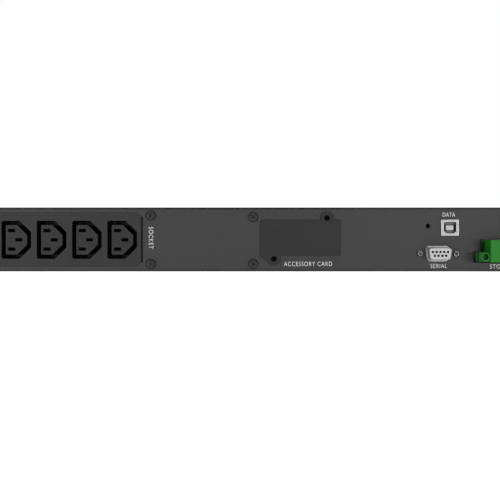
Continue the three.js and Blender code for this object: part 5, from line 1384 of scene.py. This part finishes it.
# display board with its screen and switches
DB = nb("display_board")
sx0_, sx1_, sz0_, sz1_ = 118.5, 168.5, 9.5, 34.5
parts = [
    (plate(rect(DB[0], DB[1], DB[4], DB[5], 1.0, 4), DB[2], DB[2] + 1.6, "xz", b0=0.1, b1=0.1, seg=1), "pcb"),
    (rbox(sx0_, sx1_, 236.0, 243.2, sz0_, sz1_, 0.4, 2), "black"),
    (rbox(sx0_ + 2.2, sx1_ - 2.2, 243.0, 243.6, sz0_ + 2.2, sz1_ - 2.2, 0.1, 1), "lcd"),
]
for x, z, r, yb, yf in KEY.values():
    parts.append((rbox(x - 3, x + 3, 236.0, 239.3, z - 3, z + 3, 0.3, 2), "black"))
    parts.append((lathe([(0, 0), (1.7, 0), (1.7, 0.25), (1.5, 0.3), (0, 0.3)], "y", (x, 239.3, z), 24), "nickel"))
make("display_board_fine", parts, "chassis", ["display_board"])
# what the screen shows: a battery outline and two bar graphs
seg_parts = []


def mark(x0, x1, z0, z1):
    seg_parts.append((rbox(x0, x1, 243.55, 243.75, z0, z1, 0.03, 1), "lcd_mark"))


bx0, bx1, bz0, bz1 = 149.5, 163.5, 24.5, 30.5
for a in ((bx0, bx1, bz0, bz0 + 0.6), (bx0, bx1, bz1 - 0.6, bz1), (bx0, bx0 + 0.6, bz0, bz1), (bx1 - 0.6, bx1, bz0, bz1), (bx0 - 1.2, bx0, bz0 + 1.8, bz1 - 1.8)):
    mark(*a)
for k in range(4):
    mark(bx0 + 1.4 + k * 3.0, bx0 + 3.6 + k * 3.0, bz0 + 1.4, bz1 - 1.4)
for k in range(10):
    h_ = 1.2 + 0.55 * k
    mark(124.0 + k * 2.1, 125.5 + k * 2.1, 24.0, 24.0 + h_)
for k in range(16):
    mark(124.0 + k * 2.45, 125.8 + k * 2.45, 14.6, 17.6)
mark(124.0, 163.5, 20.6, 20.95)
make("display_marks", seg_parts, "chassis")

for node, bodyname in keys.items():
    x, z, r, yb, yf = KEY[node]
    hgt = yf - yb
    prof = [(0, 0), (r + 0.9, 0), (r + 0.9, 1.0), (r + 0.7, 1.2), (r, 1.2), (r, hgt - 0.9)]
    for k in range(1, 6):
        a = math.pi / 2 * k / 5
        prof.append((r - 0.6 + 0.6 * math.cos(a), hgt - 0.9 + 0.6 * math.sin(a)))
    prof += [(r * 0.6, hgt - 0.38), (0, hgt - 0.45)]
    parts = [(lathe(prof, "y", (x, yb, z), 56), "button")]
    ring_y = yf - 0.42
    if node == "power_button":
        outer_, inner_ = [], []
        for k in range(41):
            a = math.radians(125) + math.radians(290) * k / 40
            outer_.append((x + 2.3 * math.cos(a), z + 2.3 * math.sin(a)))
            inner_.append((x + 1.75 * math.cos(a), z + 1.75 * math.sin(a)))
        parts.append((plate(outer_ + list(reversed(inner_)), ring_y - 0.3, ring_y + 0.06, "xz"), "print"))
        parts.append((rbox(x - 0.28, x + 0.28, ring_y - 0.3, ring_y + 0.06, z + 0.5, z + 2.6, 0.05, 1), "print"))
    elif node == "menu_button":
        for dz in (-0.9, 0, 0.9):
            parts.append((rbox(x - 1.3, x + 1.3, ring_y - 0.3, ring_y + 0.06, z + dz - 0.2, z + dz + 0.2, 0.05, 1), "print"))
    else:
        parts.append((plate([(x + 1.5, z - 0.5), (x + 0.7, z - 0.5), (x - 0.4, z - 1.4), (x - 0.4, z + 1.4), (x + 0.7, z + 0.5), (x + 1.5, z + 0.5)],
                            ring_y - 0.3, ring_y + 0.06, "xz"), "print"))
    make(node + "_fine", parts, bodyname, [node])

# ------------------------------------------------------------------ rack ears: one bent sheet each
for side, s in (("left", -1), ("right", 1)):
    a = HALF_W + 0.3
    pts = [(a, 150), (a + 2, 150), (a + 2, 226), (241.3, 226), (241.3, 228), (a, 228)]
    out_ = [(s * u, v) for u, v in rounded(pts, [0.3, 0.3, 0.4, 0.3, 0.3, 1.9], 6)]
    ear = plate(out_, 0.4, H - 0.4, "xy", b0=0.3, b1=0.3, seg=2)
    cutters = []
    for k in (-1, 1):
        z = 22 + k * 15.875
        cutters.append(plate(rect(s * 232.55 - 5, s * 232.55 + 5, z - 3.4, z + 3.4, 3.3, 8), 224, 230, "xz"))
    for y in (166, 202):
        cutters.append(plate(circle(y, 22, 2.3, 24), min(s * (a - 1), s * (a + 3)), max(s * (a - 1), s * (a + 3)), "yz"))
    ear = carve(ear, both(*cutters))
    make(f"rack_ear_{side}_fine", [(ear, "chassis")], "chassis", [f"rack_ear_{side}"])

# ------------------------------------------------------------------ printed labels, in generic words
PY = Y_REAR
text("label_outlets", "SOCKET", -68.2, 23.1, 3.05, 15.0, "chassis", y=PY, turn=-math.pi / 2)
text("label_slot", "ACCESSORY CARD", 40.0, 5.15, 2.95, 33.2, "chassis", y=PY)
text("label_data", "DATA", 137.1, 39.1, 2.8, 8.4, "chassis", y=PY)
text("label_serial", "SERIAL", 130.1, 3.7, 2.8, 11.4, "chassis", y=PY)
text("label_stop", "STOP", 170.1, 3.3, 2.9, 9.4, "chassis", y=PY)

# ------------------------------------------------------------------ floor
bm = bmesh.new()
bmesh.ops.create_grid(bm, x_segments=1, y_segments=1, size=8.0)
fme = bpy.data.meshes.new("floor")
bm.to_mesh(fme)
bm.free()
floor = bpy.data.objects.new("floor", fme)
scene.collection.objects.link(floor)
floor.location = (0, 0, -0.0002)
floor_mat = mat("studio_floor", (0.6, 0.6, 0.6), 0.8, vary=(3, 0.02), bump=(60, 0.03, 0.2))
floor_mat.node_tree.nodes["Principled BSDF"].inputs["Emission Color"].default_value = (1, 1, 1, 1)
floor_mat.node_tree.nodes["Principled BSDF"].inputs["Emission Strength"].default_value = 0.8
fme.materials.append(floor_mat)
floor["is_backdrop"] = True

lo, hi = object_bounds()
